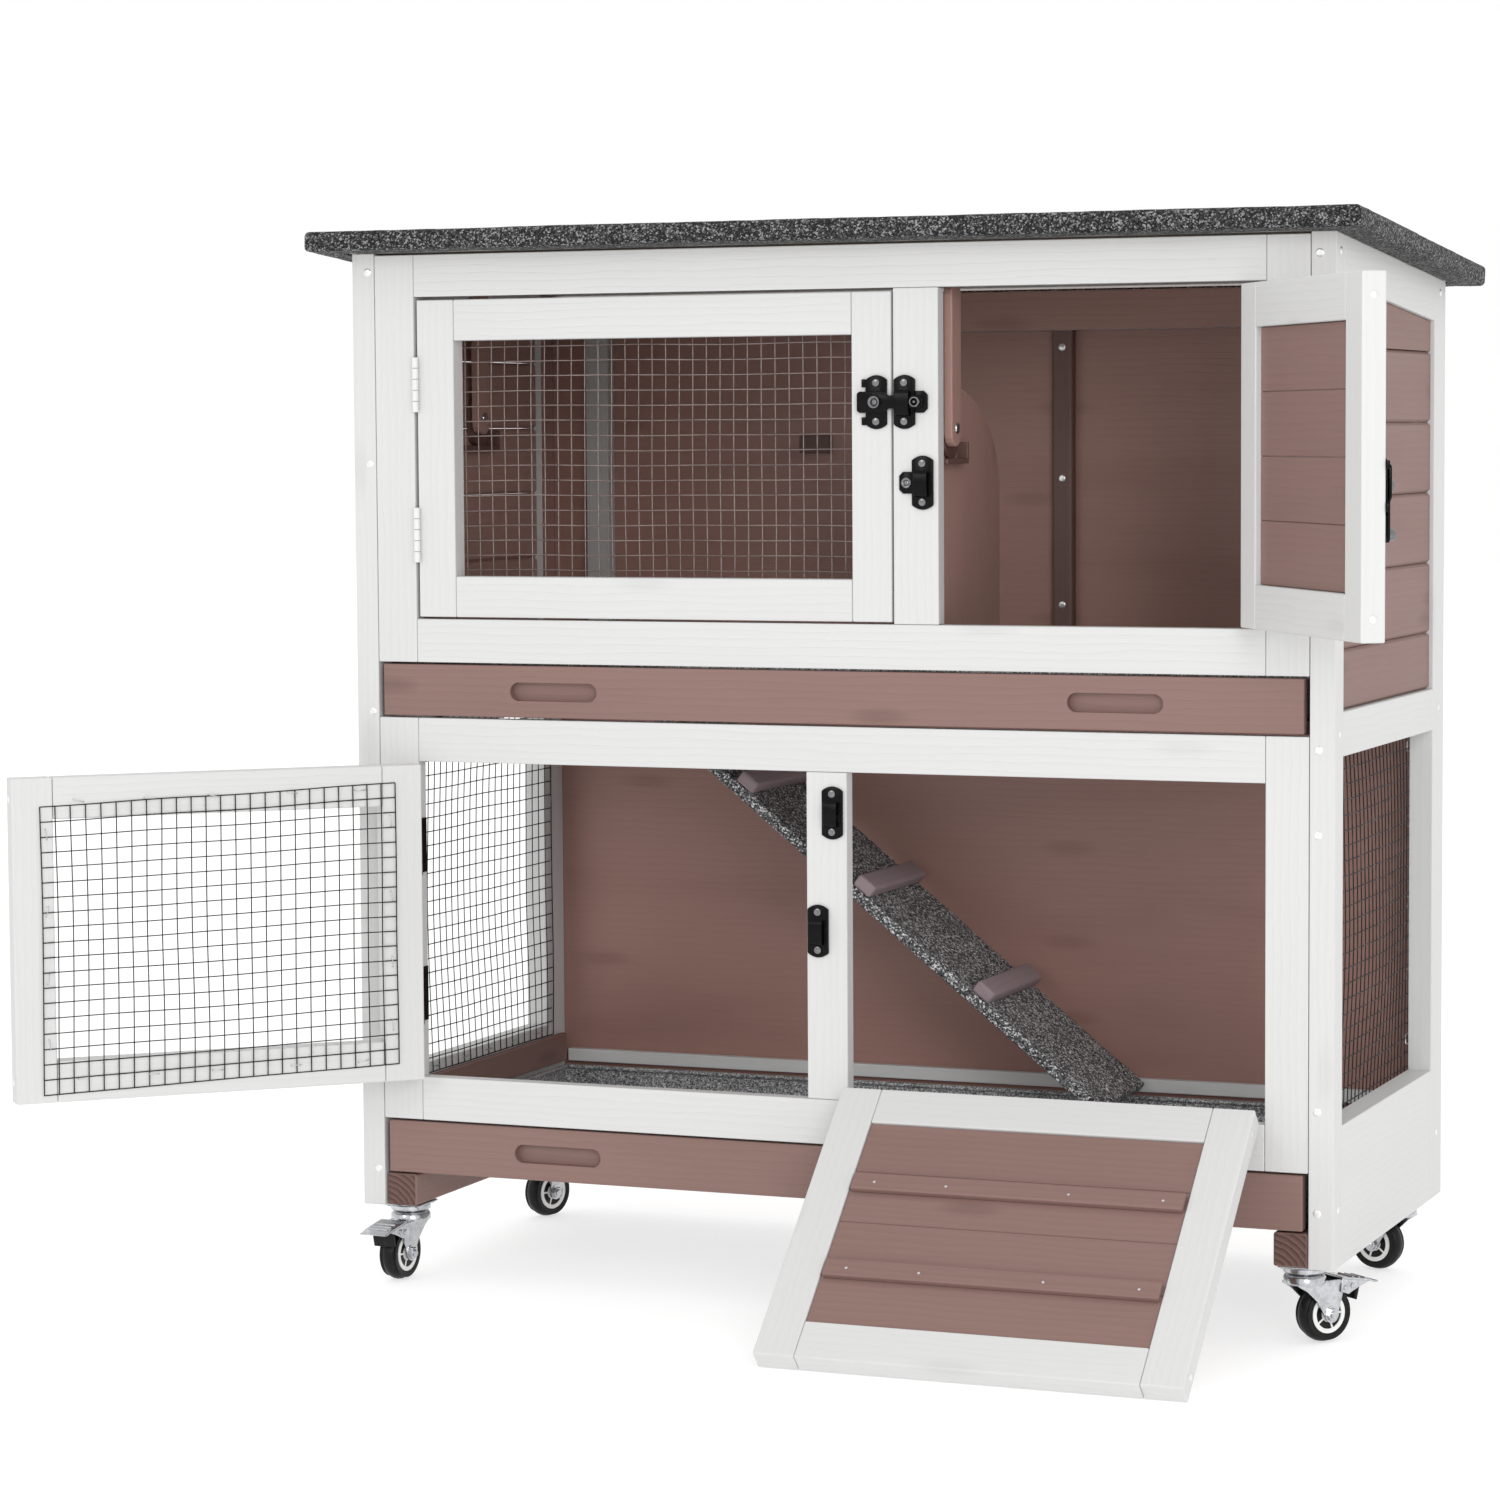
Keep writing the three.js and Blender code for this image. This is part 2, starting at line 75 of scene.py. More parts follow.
sky = bpy.data.worlds.new("studio")
sky.use_nodes = True
sky.node_tree.nodes["Background"].inputs["Color"].default_value = (1, 1, 1, 1)
sky.node_tree.nodes["Background"].inputs["Strength"].default_value = 1.0
bpy.context.scene.world = sky


def softbox(name, place, target, size, power):
    light = bpy.data.lights.new(name, "AREA")
    light.size = size
    light.energy = power
    lamp = bpy.data.objects.new(name, light)
    lamp.location = place
    lamp.rotation_euler = (Vector(target) - Vector(place)).to_track_quat("-Z", "Y").to_euler()
    bpy.context.scene.collection.objects.link(lamp)


softbox("key_softbox", (2.1, -3.1, 1.5), (0, 0, 0.45), 1.2, 34)
softbox("fill_softbox", (-1.2, -3.4, 1.9), (0, 0, 0.45), 1.0, 9)

floor_paint = bpy.data.materials.new("floor")
floor_paint.use_nodes = True
for socket, value in (
    ("Base Color", (0.50, 0.50, 0.50, 1)),
    ("Roughness", 0.9),
    ("Emission Color", (1, 1, 1, 1)),
    ("Emission Strength", 0.62),
):
    floor_paint.node_tree.nodes["Principled BSDF"].inputs[socket].default_value = value
bpy.ops.mesh.primitive_plane_add(size=40, location=(0, 0, -0.0004))
floor = bpy.context.object
floor.name = "floor"
floor.data.materials.append(floor_paint)

# ---------- side frames ----------
# Each side is a flat frame of 22 mm planed fir, glued up from two posts, two rails and a wide
# bottom board, and sprayed off-white. The post tops are sawn to the slope of the roof.
X, Y, Z = 0, 1, 2
FOOT = 0.070  # underside of the posts
POST_FRONT, POST_BACK = 0.028, 0.042
TOP_RAIL = 0.040
MIDDLE_RAIL = (0.505, 0.543)
WINDOW_SILL = 0.1905
HAIRLINE = 0.0003  # what shows of a glued butt joint
EASED = 0.0009  # sanded edges

left_low, left_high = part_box("left_side_frame")
right_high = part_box("right_side_frame")[1]
HOME = Vector((left_low.x, left_low.y, left_low.z - FOOT))  # the front left foot on the floor
AT_HOME = Matrix.Translation(HOME)
WIDTH = right_high.x - left_low.x
DEPTH = left_high.y - left_low.y
SIDE_T = left_high.x - left_low.x
WALL_FRONT = left_high.z - HOME.z
WALL_FALL = 0.030  # how much lower the wall is at the back
dice = random.Random(12)
noise.seed_set(12)


def wall_top(y):
    return WALL_FRONT - WALL_FALL * y / DEPTH


def span(node):
    """A CAD node's lowest and highest corners, from the front left foot."""
    low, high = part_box(node)
    return low - HOME, high - HOME


class Value:
    """A number or colour that varies over a surface: the output of one shader node."""

    def __init__(self, finish, socket):
        self.finish = finish
        self.socket = socket

    def __add__(self, other):
        return self.finish.sum("ADD", self, other)

    def __sub__(self, other):
        return self.finish.sum("SUBTRACT", self, other)

    def __rsub__(self, other):
        return self.finish.sum("SUBTRACT", other, self)

    def __mul__(self, other):
        return self.finish.sum("MULTIPLY", self, other)

    __radd__ = __add__
    __rmul__ = __mul__


class Finish:
    """A material, put together from shader nodes."""

    def __init__(self, name):
        self.material = bpy.data.materials.new(name)
        self.material.use_nodes = True
        self.tree = self.material.node_tree
        self.tree.nodes.clear()

    def node(self, kind, settings=None, sockets=None, output=None):
        """Adds one node: first its settings, then the value or link of each socket."""
        made = self.tree.nodes.new("ShaderNode" + kind)
        for name, value in (settings or {}).items():
            if name == "stops":
                made.color_ramp.elements[0].position, made.color_ramp.elements[0].color = value[0]
                made.color_ramp.elements[1].position, made.color_ramp.elements[1].color = value[-1]
                for at, colour in value[1:-1]:
                    made.color_ramp.elements.new(at).color = colour
            else:
                setattr(made, name, value)
        for name, value in (sockets or {}).items():
            if isinstance(name, int):
                socket = made.inputs[name]
            else:
                socket = next(s for s in made.inputs if s.enabled and s.name == name)
            if isinstance(value, Value):
                self.tree.links.new(value.socket, socket)
            else:
                socket.default_value = value
        shown = [s for s in made.outputs if s.enabled]
        return Value(self, next((s for s in shown if s.name == output), shown[0]))

    def sum(self, operation, a, b):
        return self.node("Math", {"operation": operation}, {0: a, 1: b})

    def stretch(self, place, amounts):
        return self.node("VectorMath", {"operation": "MULTIPLY"}, {0: place, 1: amounts})

    def ramp(self, value, low, high):
        """0 below low, 1 above high, smooth between."""
        sizes = {"Value": value, "From Min": low, "From Max": high}
        return self.node("MapRange", {"interpolation_type": "SMOOTHSTEP"}, sizes)

    def noise(self, scale, detail=3.0, roughness=0.5):
        """Cloudy values around 0.5 that stay with the piece."""
        place = self.node("TexCoord", None, None, "Object")
        sockets = {"Vector": place, "Scale": scale, "Detail": detail, "Roughness": roughness}
        return self.node("TexNoise", None, sockets)

    def blend(self, amount, a, b):
        colours = {"Factor": amount, "A": opaque(a), "B": opaque(b)}
        return self.node("Mix", {"data_type": "RGBA"}, colours)

    def close(self, sockets, relief=None, depth=0.0):
        """Ends in a principled surface, embossed by relief to that depth in metres."""
        if relief is not None:
            sockets["Normal"] = self.node("Bump", None, {"Distance": depth, "Height": relief})
        shader = self.node("BsdfPrincipled", None, sockets)
        end = self.tree.nodes.new("ShaderNodeOutputMaterial")
        self.tree.links.new(shader.socket, end.inputs["Surface"])
        return self.material


def opaque(colour):
    return (*colour, 1.0)


def painted_fir(name, paint, ghost, growth, blotch, roughness):
    """Thin paint on fir: growth lines and knots ghost through it, and the brush leaves fine lines."""
    coat = Finish(name)
    grain = coat.node("UVMap", {"uv_map": "grain"})
    fine = {"Vector": coat.stretch(grain, (4, 260, 1)), "Scale": 1.0, "Detail": 4.0, "Roughness": 0.65}
    brushed = coat.node("TexNoise", None, fine)
    broad = {"Vector": coat.stretch(grain, (3, 14, 1)), "Scale": 1.0, "Detail": 3.0}
    cloudy = coat.node("TexNoise", None, broad)
    bands = {"wave_type": "BANDS", "bands_direction": "Y", "wave_profile": "SAW"}
    wavy = {"Vector": coat.stretch(grain, (0.16, 1, 1)), "Scale": 44.0, "Distortion": 5.0, "Detail": 3.0}
    wavy["Detail Scale"] = 1.3
    rings = coat.node("TexWave", bands, wavy)
    spot = {"Vector": coat.stretch(grain, (4.2, 15, 1)), "Scale": 1.0}
    far = coat.node("TexVoronoi", {"voronoi_dimensions": "2D"}, spot, "Distance")
    lot = coat.node("TexVoronoi", {"voronoi_dimensions": "2D"}, spot, "Color")
    few = coat.ramp(coat.node("SeparateColor", None, {"Color": lot}), 0.70, 0.72)
    knots = (1 - coat.ramp(far, 0.03, 0.16)) * few
    shade = rings * brushed * growth + coat.ramp(cloudy, 0.42, 0.8) * blotch + knots * (blotch + growth)
    colour = coat.blend(shade, paint, ghost)
    gloss = cloudy * 0.16 + (roughness - 0.08)
    relief = brushed * 0.5 + rings * 0.5 + knots * 0.4
    return coat.close({"Base Color": colour, "Roughness": gloss}, relief, 0.00018)


white_fir = painted_fir("white_fir", (0.635, 0.635, 0.63), (0.42, 0.415, 0.40), 0.13, 0.05, 0.55)


def rectangle(u0, u1, v0, v1):
    return [(u0, v0), (u1, v0), (u1, v1), (u0, v1)]


def ease(solid, offset, rounds):
    """Rounds off every sharp edge."""
    sharp = [e for e in solid.edges if e.calc_face_angle(0) > 0.6]
    bmesh.ops.bevel(solid, geom=sharp, offset=offset, segments=rounds, profile=0.5, affect="EDGES")


def divide(solid, axis, at):
    """Divides the faces that cross one level along an axis, and leaves the solid whole."""
    point, way = Vector(), Vector()
    point[axis], way[axis] = at, 1
    parts = solid.verts[:] + solid.edges[:] + solid.faces[:]
    bmesh.ops.bisect_plane(solid, geom=parts, plane_co=point, plane_no=way)


def prism(outline, across, start, end, eased=EASED, rounds=2):
    """A closed solid: an outline in the plane across one axis, drawn from start to end along it."""
    solid = bmesh.new()
    others = [axis for axis in (X, Y, Z) if axis != across]
    rings = []
    for reach in (start, end):
        ring = []
        for pair in outline:
            place = [reach, reach, reach]
            place[others[0]], place[others[1]] = pair
            ring.append(solid.verts.new(place))
        rings.append(ring)
    near, far = rings
    solid.faces.new(near)
    solid.faces.new(far)
    for i, corner in enumerate(near):
        solid.faces.new((near[i - 1], corner, far[i], far[i - 1]))
    bmesh.ops.recalc_face_normals(solid, faces=solid.faces)
    if eased:
        ease(solid, eased, rounds)
    return solid


def slab(low, high, eased=EASED, rounds=2):
    """A plain stick or plate between two corners."""
    return prism(rectangle(low[X], high[X], low[Y], high[Y]), Z, low[Z], high[Z], eased, rounds)


class Joinery:
    """Solids gathered into one piece, with a run of grain along each that is timber."""

    def __init__(self):
        self.points = []
        self.faces = []
        self.grain = []

    def add(self, solid, along=X, place=None):
        first = len(self.points)
        start, side = dice.uniform(0, 40), dice.uniform(0, 40)
        a, b = [axis for axis in (X, Y, Z) if axis != along]
        solid.verts.index_update()
        for face in solid.faces:
            self.faces.append([first + v.index for v in face.verts])
            end_grain = abs(face.normal[along]) > 0.7
            for p in (v.co for v in face.verts):
                u, v = (p[a] * 9, p[b]) if end_grain else (p[along], p[a] + p[b])
                self.grain.append((u + start, v + side))
        for vert in solid.verts:
            self.points.append(place @ vert.co if place else vert.co.copy())
        solid.free()
        return self

    def fit(self, name, body, slot, finish, place=AT_HOME, stands_for=None, smooth=None):
        """Makes the piece and fixes it to the body that carries it."""
        mesh = bpy.data.meshes.new(name)
        mesh.from_pydata(self.points, [], self.faces)
        layer = mesh.uv_layers.new(name="grain")
        layer.data.foreach_set("uv", [n for pair in self.grain for n in pair])
        mesh.materials.append(finish)
        if smooth:
            mesh.shade_smooth()
            mesh.set_sharp_from_angle(angle=math.radians(smooth))
        piece = bpy.data.objects.new(name, mesh)
        bpy.context.scene.collection.objects.link(piece)
        piece.matrix_world = place
        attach(piece, body)
        if stands_for:
            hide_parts(stands_for)
        return piece


side_timbers = {}
for side, x in (("left", 0), ("right", WIDTH - SIDE_T)):
    y_in, y_out = POST_FRONT, DEPTH - POST_BACK
    across = (x, x + SIDE_T)
    wood = Joinery()
    for y0, y1 in ((0, y_in - HAIRLINE), (y_out + HAIRLINE, DEPTH)):
        post = [(y0, FOOT), (y1, FOOT), (y1, wall_top(y1)), (y0, wall_top(y0))]
        solid = prism(post, X, *across, eased=0)
        divide(solid, Z, MIDDLE_RAIL[1])
        ease(solid, EASED, 2)
        wood.add(solid, Z)
    rail = [(y_in, wall_top(y_in) - TOP_RAIL), (y_out, wall_top(y_out) - TOP_RAIL)]
    rail += [(y_out, wall_top(y_out)), (y_in, wall_top(y_in))]
    wood.add(prism(rail, X, *across), Y)
    wood.add(prism(rectangle(y_in, y_out, *MIDDLE_RAIL), X, *across), Y)
    wood.add(prism(rectangle(y_in, y_out, FOOT, WINDOW_SILL), X, *across), Y)
    name, hidden = f"{side}_side_timbers", f"{side}_side_frame"
    side_timbers[side] = wood.fit(name, "frame", "white_paint", white_fir, stands_for=hidden)

# ---------- side boards ----------
# The upper half of each side is filled with tongued fir boards, stained brown. Each board has a
# bevelled edge, so the joints show as dark V grooves, and the boards lie back from the frame.
BOARD_PITCH = 0.064
BOARD_T = 0.012
BOARDS_IN = 0.004  # how far they lie back from the frame's face
LOWEST_BOARD = 0.0515
VEE = 0.0028
JOINT = 0.0002  # half the crack between two boards

brown_fir = painted_fir("brown_fir", (0.236, 0.141, 0.121), (0.120, 0.066, 0.056), 0.22, 0.14, 0.62)
# A lighter copy of the brown fir, for faces inside the upper rooms: painted light.
inner_fir = painted_fir("inner_fir", (0.41, 0.245, 0.21), (0.22, 0.125, 0.105), 0.22, 0.14, 0.62)


def board_section(front, back, low, high, back_vee, crack):
    """The end of one board: its edges bevelled by VEE in front and by back_vee behind."""
    lower = [(front, VEE), (front + VEE, crack), (back - back_vee, crack), (back, back_vee)]
    return [(v, low + up) for v, up in lower] + [(v, high - up) for v, up in reversed(lower)]


def repaint(piece, finish, chosen):
    """Gives another finish to the faces that chosen picks."""
    piece.data.materials.append(finish)
    for face in piece.data.polygons:
        if chosen(face):
            face.material_index = len(piece.data.materials) - 1


for side, x in (("left", BOARDS_IN), ("right", WIDTH - BOARDS_IN - BOARD_T)):
    low, high = span(f"{side}_side_boards")
    levels = [low.z]
    while levels[-1] + BOARD_PITCH < wall_top(POST_FRONT) - TOP_RAIL - 0.012:
        levels.append(low.z + LOWEST_BOARD + BOARD_PITCH * (len(levels) - 1))
    wood = Joinery()
    for foot, head in zip(levels, levels[1:]):
        section = board_section(x, x + BOARD_T, foot, head, VEE, JOINT)
        wood.add(prism(section, Y, low.y, high.y, 0), Y)
    top = [(low.y, levels[-1] + 0.0005), (high.y, levels[-1] + 0.0005)]
    top += [(y, wall_top(y) - TOP_RAIL - HAIRLINE) for y in (high.y, low.y)]
    wood.add(prism(top, X, x, x + BOARD_T), Y)
    hidden = f"{side}_side_boards"
    piece = wood.fit(f"{side}_tongued_boards", "frame", "brown_paint", brown_fir, stands_for=hidden)
    # The left boards' inner faces get the lighter copy of the brown: painted light.
    repaint(piece, inner_fir, lambda face: side == "left" and face.normal.x > 0.3)
    # Inside the upper storey the brown stain runs on over the back post, drawn in the lighter copy of the
    # brown: painted light.
    inward = 1 if side == "left" else -1
    back_post, upper = DEPTH - POST_BACK, MIDDLE_RAIL[1]
    repaint(
        side_timbers[side],
        inner_fir,
        lambda face: face.center.z > upper and face.center.y > back_post and face.normal.x * inward > 0.9,
    )

# ---------- wire mesh of the side windows ----------
# Welded half-inch netting of thin dark wire, stapled to the inside of the frame. The sheet came off
# a roll, so it bellies a little and its wires aren't quite straight.
WIRE_PITCH = 0.0134
WIRE_R = 0.00054
WIRE_DRIFT = 0.0016
STAPLE_EVERY, STAPLE_R = 0.062, 0.00042
STAPLE_CROWN, STAPLE_LEG = 0.0095, 0.0035


def tube(points, radius, sides=6):
    """A wire along a line of points, closed at both ends."""
    solid = bmesh.new()
    rings = []
    for i, here in enumerate(points):
        way = points[min(i + 1, len(points) - 1)] - points[max(i - 1, 0)]
        turn = way.to_track_quat("Z", "X").to_matrix()
        ring = []
        for k in range(sides):
            angle = math.tau * k / sides
            spoke = Vector((math.cos(angle), math.sin(angle), 0)) * radius
            ring.append(solid.verts.new(here + turn @ spoke))
        rings.append(ring)
    for ring, after in zip(rings, rings[1:]):
        for k in range(sides):
            solid.faces.new((ring[k - 1], ring[k], after[k], after[k - 1]))
    solid.faces.new(rings[0][::-1])
    solid.faces.new(rings[-1])
    solid.normal_update()
    return solid


def dark_wire():
    coat = Finish("dark_wire")
    worn = coat.noise(90.0)
    rub = coat.ramp(worn, 0.50, 0.68)
    colour = coat.blend(rub, (0.012, 0.012, 0.012), (0.040, 0.038, 0.036))
    return coat.close({"Base Color": colour, "Roughness": 0.62 - rub * 0.2, "Metallic": 0.55}, worn, 0.0001)


wire_finish = dark_wire()


def plated(name, bright, dull, roughness, metallic=1.0):
    """Plated metal with a fine haze of dull patches."""
    coat = Finish(name)
    haze = coat.noise(210.0, 4.0, 0.6)
    colour = coat.blend(haze, bright, dull)
    sockets = {"Base Color": colour, "Roughness": haze * 0.22 + roughness, "Metallic": metallic}
    return coat.close(sockets, haze, 0.0001)


staple_finish = plated("staple_metal", (0.80, 0.80, 0.81), (0.55, 0.55, 0.56), 0.22, 0.9)
screw_finish = plated("screw_zinc", (0.92, 0.92, 0.92), (0.70, 0.70, 0.70), 0.18, 0.85)


def netting(size, belly, sag=0.0):
    """A sheet of welded netting over (0..u, 0..v), its wires crossing at w = 0. It sags at u = 0."""
    wires = Joinery()
    counts = [round(length / WIRE_PITCH) for length in size]
    seed = dice.uniform(0, 100)

    def crossing(i, j, lift):
        u, v = i * size[0] / counts[0], j * size[1] / counts[1]
        swell = belly * math.sin(math.pi * u / size[0]) * math.sin(math.pi * v / size[1])
        drift = noise.noise_vector(Vector((u * 9, v * 9, seed))) * WIRE_DRIFT
        return Vector((u + drift.x, v + drift.y - sag * (1 - u / size[0]), swell + drift.z * 0.6 + lift))

    for i in range(counts[0] + 1):
        wires.add(tube([crossing(i, j, WIRE_R) for j in range(counts[1] + 1)], WIRE_R))
    for j in range(counts[1] + 1):
        wires.add(tube([crossing(i, j, -WIRE_R) for i in range(counts[0] + 1)], WIRE_R))
    return wires


def staples(size, inset):
    """Wire staples around the sheet's margin, each driven over one wire."""
    row = Joinery()
    marks = []
    for length, other, swap in ((size[0], size[1], False), (size[1], size[0], True)):
        count = max(2, round(length / STAPLE_EVERY))
        for k in range(count):
            at = length * (k + 0.5) / count + dice.uniform(-0.008, 0.008)
            for edge in (inset, other - inset):
                marks.append(((edge, at) if swap else (at, edge), swap))
    for (u, v), swap in marks:
        lean = Matrix.Rotation((math.pi / 2 if swap else 0) + dice.uniform(-0.25, 0.25), 4, "Z")
        half = STAPLE_CROWN / 2
        line = [Vector(p) for p in ((-half, 0, -STAPLE_LEG), (-half, 0, 0), (-half + 0.0008, 0, 0.0011))]
        line += [Vector((-p.x, 0, p.z)) for p in reversed(line)]
        row.add(tube(line, STAPLE_R, 5), X, Matrix.Translation((u, v, 0.0008)) @ lean)
    return row


for side, face, out in (("left", SIDE_T + 0.0014, -1), ("right", WIDTH - SIDE_T - 0.0014, 1)):
    low, high = span(f"{side}_side_mesh")
    size = (high.y - low.y, high.z - low.z)
    turn = Matrix(((0, 0, -out, face), (1, 0, 0, low.y), (0, 1, 0, low.z), (0, 0, 0, 1)))
    net = netting(size, -0.006)
    hidden = f"{side}_side_mesh"
    at = AT_HOME @ turn
    net.fit(f"{side}_window_netting", "frame", "wire_mesh", wire_finish, at, hidden, 60)
    staples(size, 0.005).fit(f"{side}_window_staples", "frame", "screw", staple_finish, at, smooth=60)

# ---------- front frames ----------
# Two white frames span the front between the side frames, one to each storey: stiles at the ends,
# a mullion between the two openings, and rails above and below, all butt-jointed.
FRONT_T = 0.015
OPENINGS = (0.062, 0.8595)
UPPER_HOLE, UPPER_MULLION = (0.6135, 0.906), (0.526, 0.5675)
LOWER_HOLE, LOWER_MULLION = (0.192, 0.483), (0.443, 0.481)

for name, hole, mullion in (
    ("upper_front_frame", UPPER_HOLE, UPPER_MULLION),
    ("lower_front_frame", LOWER_HOLE, LOWER_MULLION),
):
    low, high = span(name)
    depth = (0, FRONT_T)
    wood = Joinery()
    for x0, x1 in ((low.x + 0.0003, OPENINGS[0] - HAIRLINE), (OPENINGS[1] + HAIRLINE, high.x - 0.0003)):
        wood.add(prism(rectangle(x0, x1, low.z, high.z), Y, *depth), Z)
    for z0, z1 in ((low.z, hole[0]), (hole[1], high.z)):
        wood.add(prism(rectangle(*OPENINGS, z0, z1), Y, *depth), X)
    wood.add(prism(rectangle(*mullion, hole[0] + HAIRLINE, hole[1] - HAIRLINE), Y, *depth), Z)
    wood.fit(f"{name}_timbers", "frame", "white_paint", white_fir, stands_for=name)

# ---------- back wall ----------
# Thin plywood sheets stained dark brown inside, let in behind a white rail and stile, with a brown
# batten over the joint of the upper sheet, a white one along the foot of the lower and a small cleat.
# The stile is drawn in a grey copy of the white paint, and the batten and cleat in a darker copy of
# the brown: both painted shade.
BACK_RAIL_FOOT = 0.876
BACK_STILE, BACK_STILE_FRONT = (0.065, 0.089), 0.370
BATTEN_OVER = 0.019  # how far the joint batten runs up past the rail's foot
FOOT_BATTEN = ((0.030, 0.3895, 0.1505), (WIDTH - 0.030, 0.3990, 0.163))
CLEAT_X, CLEAT_Z, CLEAT_T = (0.288, 0.320), (0.761, 0.778), 0.006

dark_ply = painted_fir("dark_ply", (0.345, 0.190, 0.158), (0.20, 0.094, 0.074), 0.10, 0.28, 0.46)
# A darker copy of the brown fir, for the batten, the cleat and the stay blocks: painted shade.
batten_fir = painted_fir("batten_fir", (0.135, 0.072, 0.060), (0.07, 0.035, 0.028), 0.2, 0.2, 0.5)
# A grey copy of the white paint, for the back stile: painted shade.
grey_ply = painted_fir("grey_ply", (0.48, 0.475, 0.465), (0.28, 0.27, 0.26), 0.3, 0.3, 0.7)

for name in ("upper_back_panel", "lower_back_panel"):
    low, high = span(name)
    sheet = Joinery().add(slab(low, high, 0.0006), X)
    sheet.fit(f"{name}_ply", "frame", "dark_brown_paint", dark_ply, stands_for=name)

low, high = span("back_frame")
wood = Joinery().add(slab((low.x, low.y, BACK_RAIL_FOOT), high), X)
stile = ((BACK_STILE[0], BACK_STILE_FRONT, low.z), (BACK_STILE[1], high.y, BACK_RAIL_FOOT - HAIRLINE))
wood.add(slab(*stile), Z)
# The stile keeps the grey copy of the white paint, painted shade; the rail is brown inside and white outside.
piece = wood.fit("back_rail_and_stile", "frame", "white_paint", grey_ply, stands_for="back_frame")
repaint(piece, dark_ply, lambda face: face.center.z > BACK_RAIL_FOOT and face.normal.y < -0.5)
repaint(piece, white_fir, lambda face: face.center.z > BACK_RAIL_FOOT and face.normal.y >= -0.5)

# The joint batten and the wall cleat are drawn in the darker copy of the brown: painted shade.
low, high = span("back_batten")
wood = Joinery().add(slab(low, high + Vector((0, 0, BATTEN_OVER)), 0.003, 3), Z)
wood.fit("back_joint_batten", "frame", "dark_brown_paint", batten_fir, stands_for="back_batten")
wood = Joinery().add(slab(*FOOT_BATTEN), X)
wood.fit("back_foot_batten", "frame", "white_paint", white_fir)
wall = span("upper_back_panel")[0].y
cleat = ((CLEAT_X[0], wall - CLEAT_T, CLEAT_Z[0]), (CLEAT_X[1], wall - 0.0002, CLEAT_Z[1]))
wood = Joinery().add(slab(*cleat, 0.001), X)
wood.fit("back_wall_cleat", "frame", "dark_brown_paint", batten_fir)

# ---------- brown lining boards ----------
# Low brown boards line the inside of both lower side walls above the tray, nailed to the posts.
LINING_T, LINING_Y, LINING_Z = 0.007, (0.020, 0.3885), (0.151, 0.179)

for side, x in (("left", SIDE_T + 0.0004), ("right", WIDTH - SIDE_T - 0.0004 - LINING_T)):
    board = ((x, LINING_Y[0], LINING_Z[0]), (x + LINING_T, LINING_Y[1], LINING_Z[1]))
    wood = Joinery().add(slab(*board, 0.0012), Y)
    wood.fit(f"{side}_lining_board", "frame", "brown_paint", brown_fir)

# ---------- room divider ----------
# A brown board stands across the upper storey beside the doorway between its rooms. Its back edge
# is sawn to a long curve so that the rabbits can pass behind it.
low, high = span("divider_panel")
bend = [(high.y, 0.730), (high.y, 0.775), (0.130, 0.818), (0.060, high.z)]
edge = [(low.y, low.z), (high.y, low.z), bend[0]]
for step in range(1, 13):
    t = step / 12
    share = [(1 - t) ** 3, 3 * t * (1 - t) ** 2, 3 * t * t * (1 - t), t**3]
    edge.append(tuple(sum(s * p[i] for s, p in zip(share, bend)) for i in (0, 1)))
edge.append((low.y, high.z))
# The divider is drawn in the lighter copy of the brown fir: painted light.
wood = Joinery().add(prism(edge, X, low.x, high.x, 0.0015, 3), Z)
wood.fit("divider_board", "frame", "brown_paint", inner_fir, stands_for="divider_panel")

# ---------- tray runners ----------
# Square brown runners are screwed inside the side frames. The lower pair also takes the casters, and
# its sawn ends show their growth rings below the drawer front.


def end_grain():
    coat = Finish("brown_end_grain")
    place = coat.node("TexCoord", None, None, "Object")
    rings = {"Vector": place, "Scale": 62.0, "Distortion": 1.6, "Detail": 2.0, "Detail Scale": 2.0}
    round_pith = {"wave_type": "RINGS", "rings_direction": "Y", "wave_profile": "SAW"}
    centre = coat.node("TexWave", round_pith, rings)
    pores = coat.noise(420.0)
    shade = centre * 0.75 + pores * 0.35
    colour = coat.blend(shade, (0.21, 0.11, 0.09), (0.036, 0.015, 0.012))
    return coat.close({"Base Color": colour, "Roughness": pores * 0.1 + 0.62}, shade, 0.0003)


sawn_end = end_grain()
for name in ("upper_left_runner", "upper_right_runner", "lower_left_runner", "lower_right_runner"):
    low, high = span(name)
    pith = Vector((low.x - 0.004, low.y, low.z - 0.012))
    wood = Joinery().add(slab(low - pith, high - pith, 0.0024, 3), Y)
    at = Matrix.Translation(HOME + pith)
    piece = wood.fit(f"{name}_stick", "frame", "brown_paint", brown_fir, at, name)
    repaint(piece, sawn_end, lambda face: abs(face.normal.y) > 0.9)

# ---------- trays ----------
# Each drawer is a brown board with two routed finger slots, screwed to a folded pan of speckled
# grey sheet. The upper pan has a hatch cut in it over the head of the ladder.
SLOT_HALF, SLOT_R, SLOT_DEEP = 0.0345, 0.0085, 0.0080
FINGER_SLOTS = (0.198, 0.727)


def speckled_sheet():
    coat = Finish("speckled_sheet")
    coarse = coat.noise(620.0, 2.0, 0.7)
    broad = coat.noise(14.0)
    stops = [(0.36, opaque((0.055, 0.056, 0.058))), (0.48, opaque((0.24, 0.243, 0.248)))]
    stops += [(0.56, opaque((0.42, 0.423, 0.43))), (0.66, opaque((0.80, 0.80, 0.80)))]
    colour = coat.node("ValToRGB", {"stops": stops}, {"Fac": coarse + (broad - 0.5) * 0.16})
    sockets = {"Base Color": colour, "Roughness": 0.34 + coarse * 0.3, "Metallic": 0.25}
    return coat.close(sockets, coarse, 0.0002)


speckled = speckled_sheet()


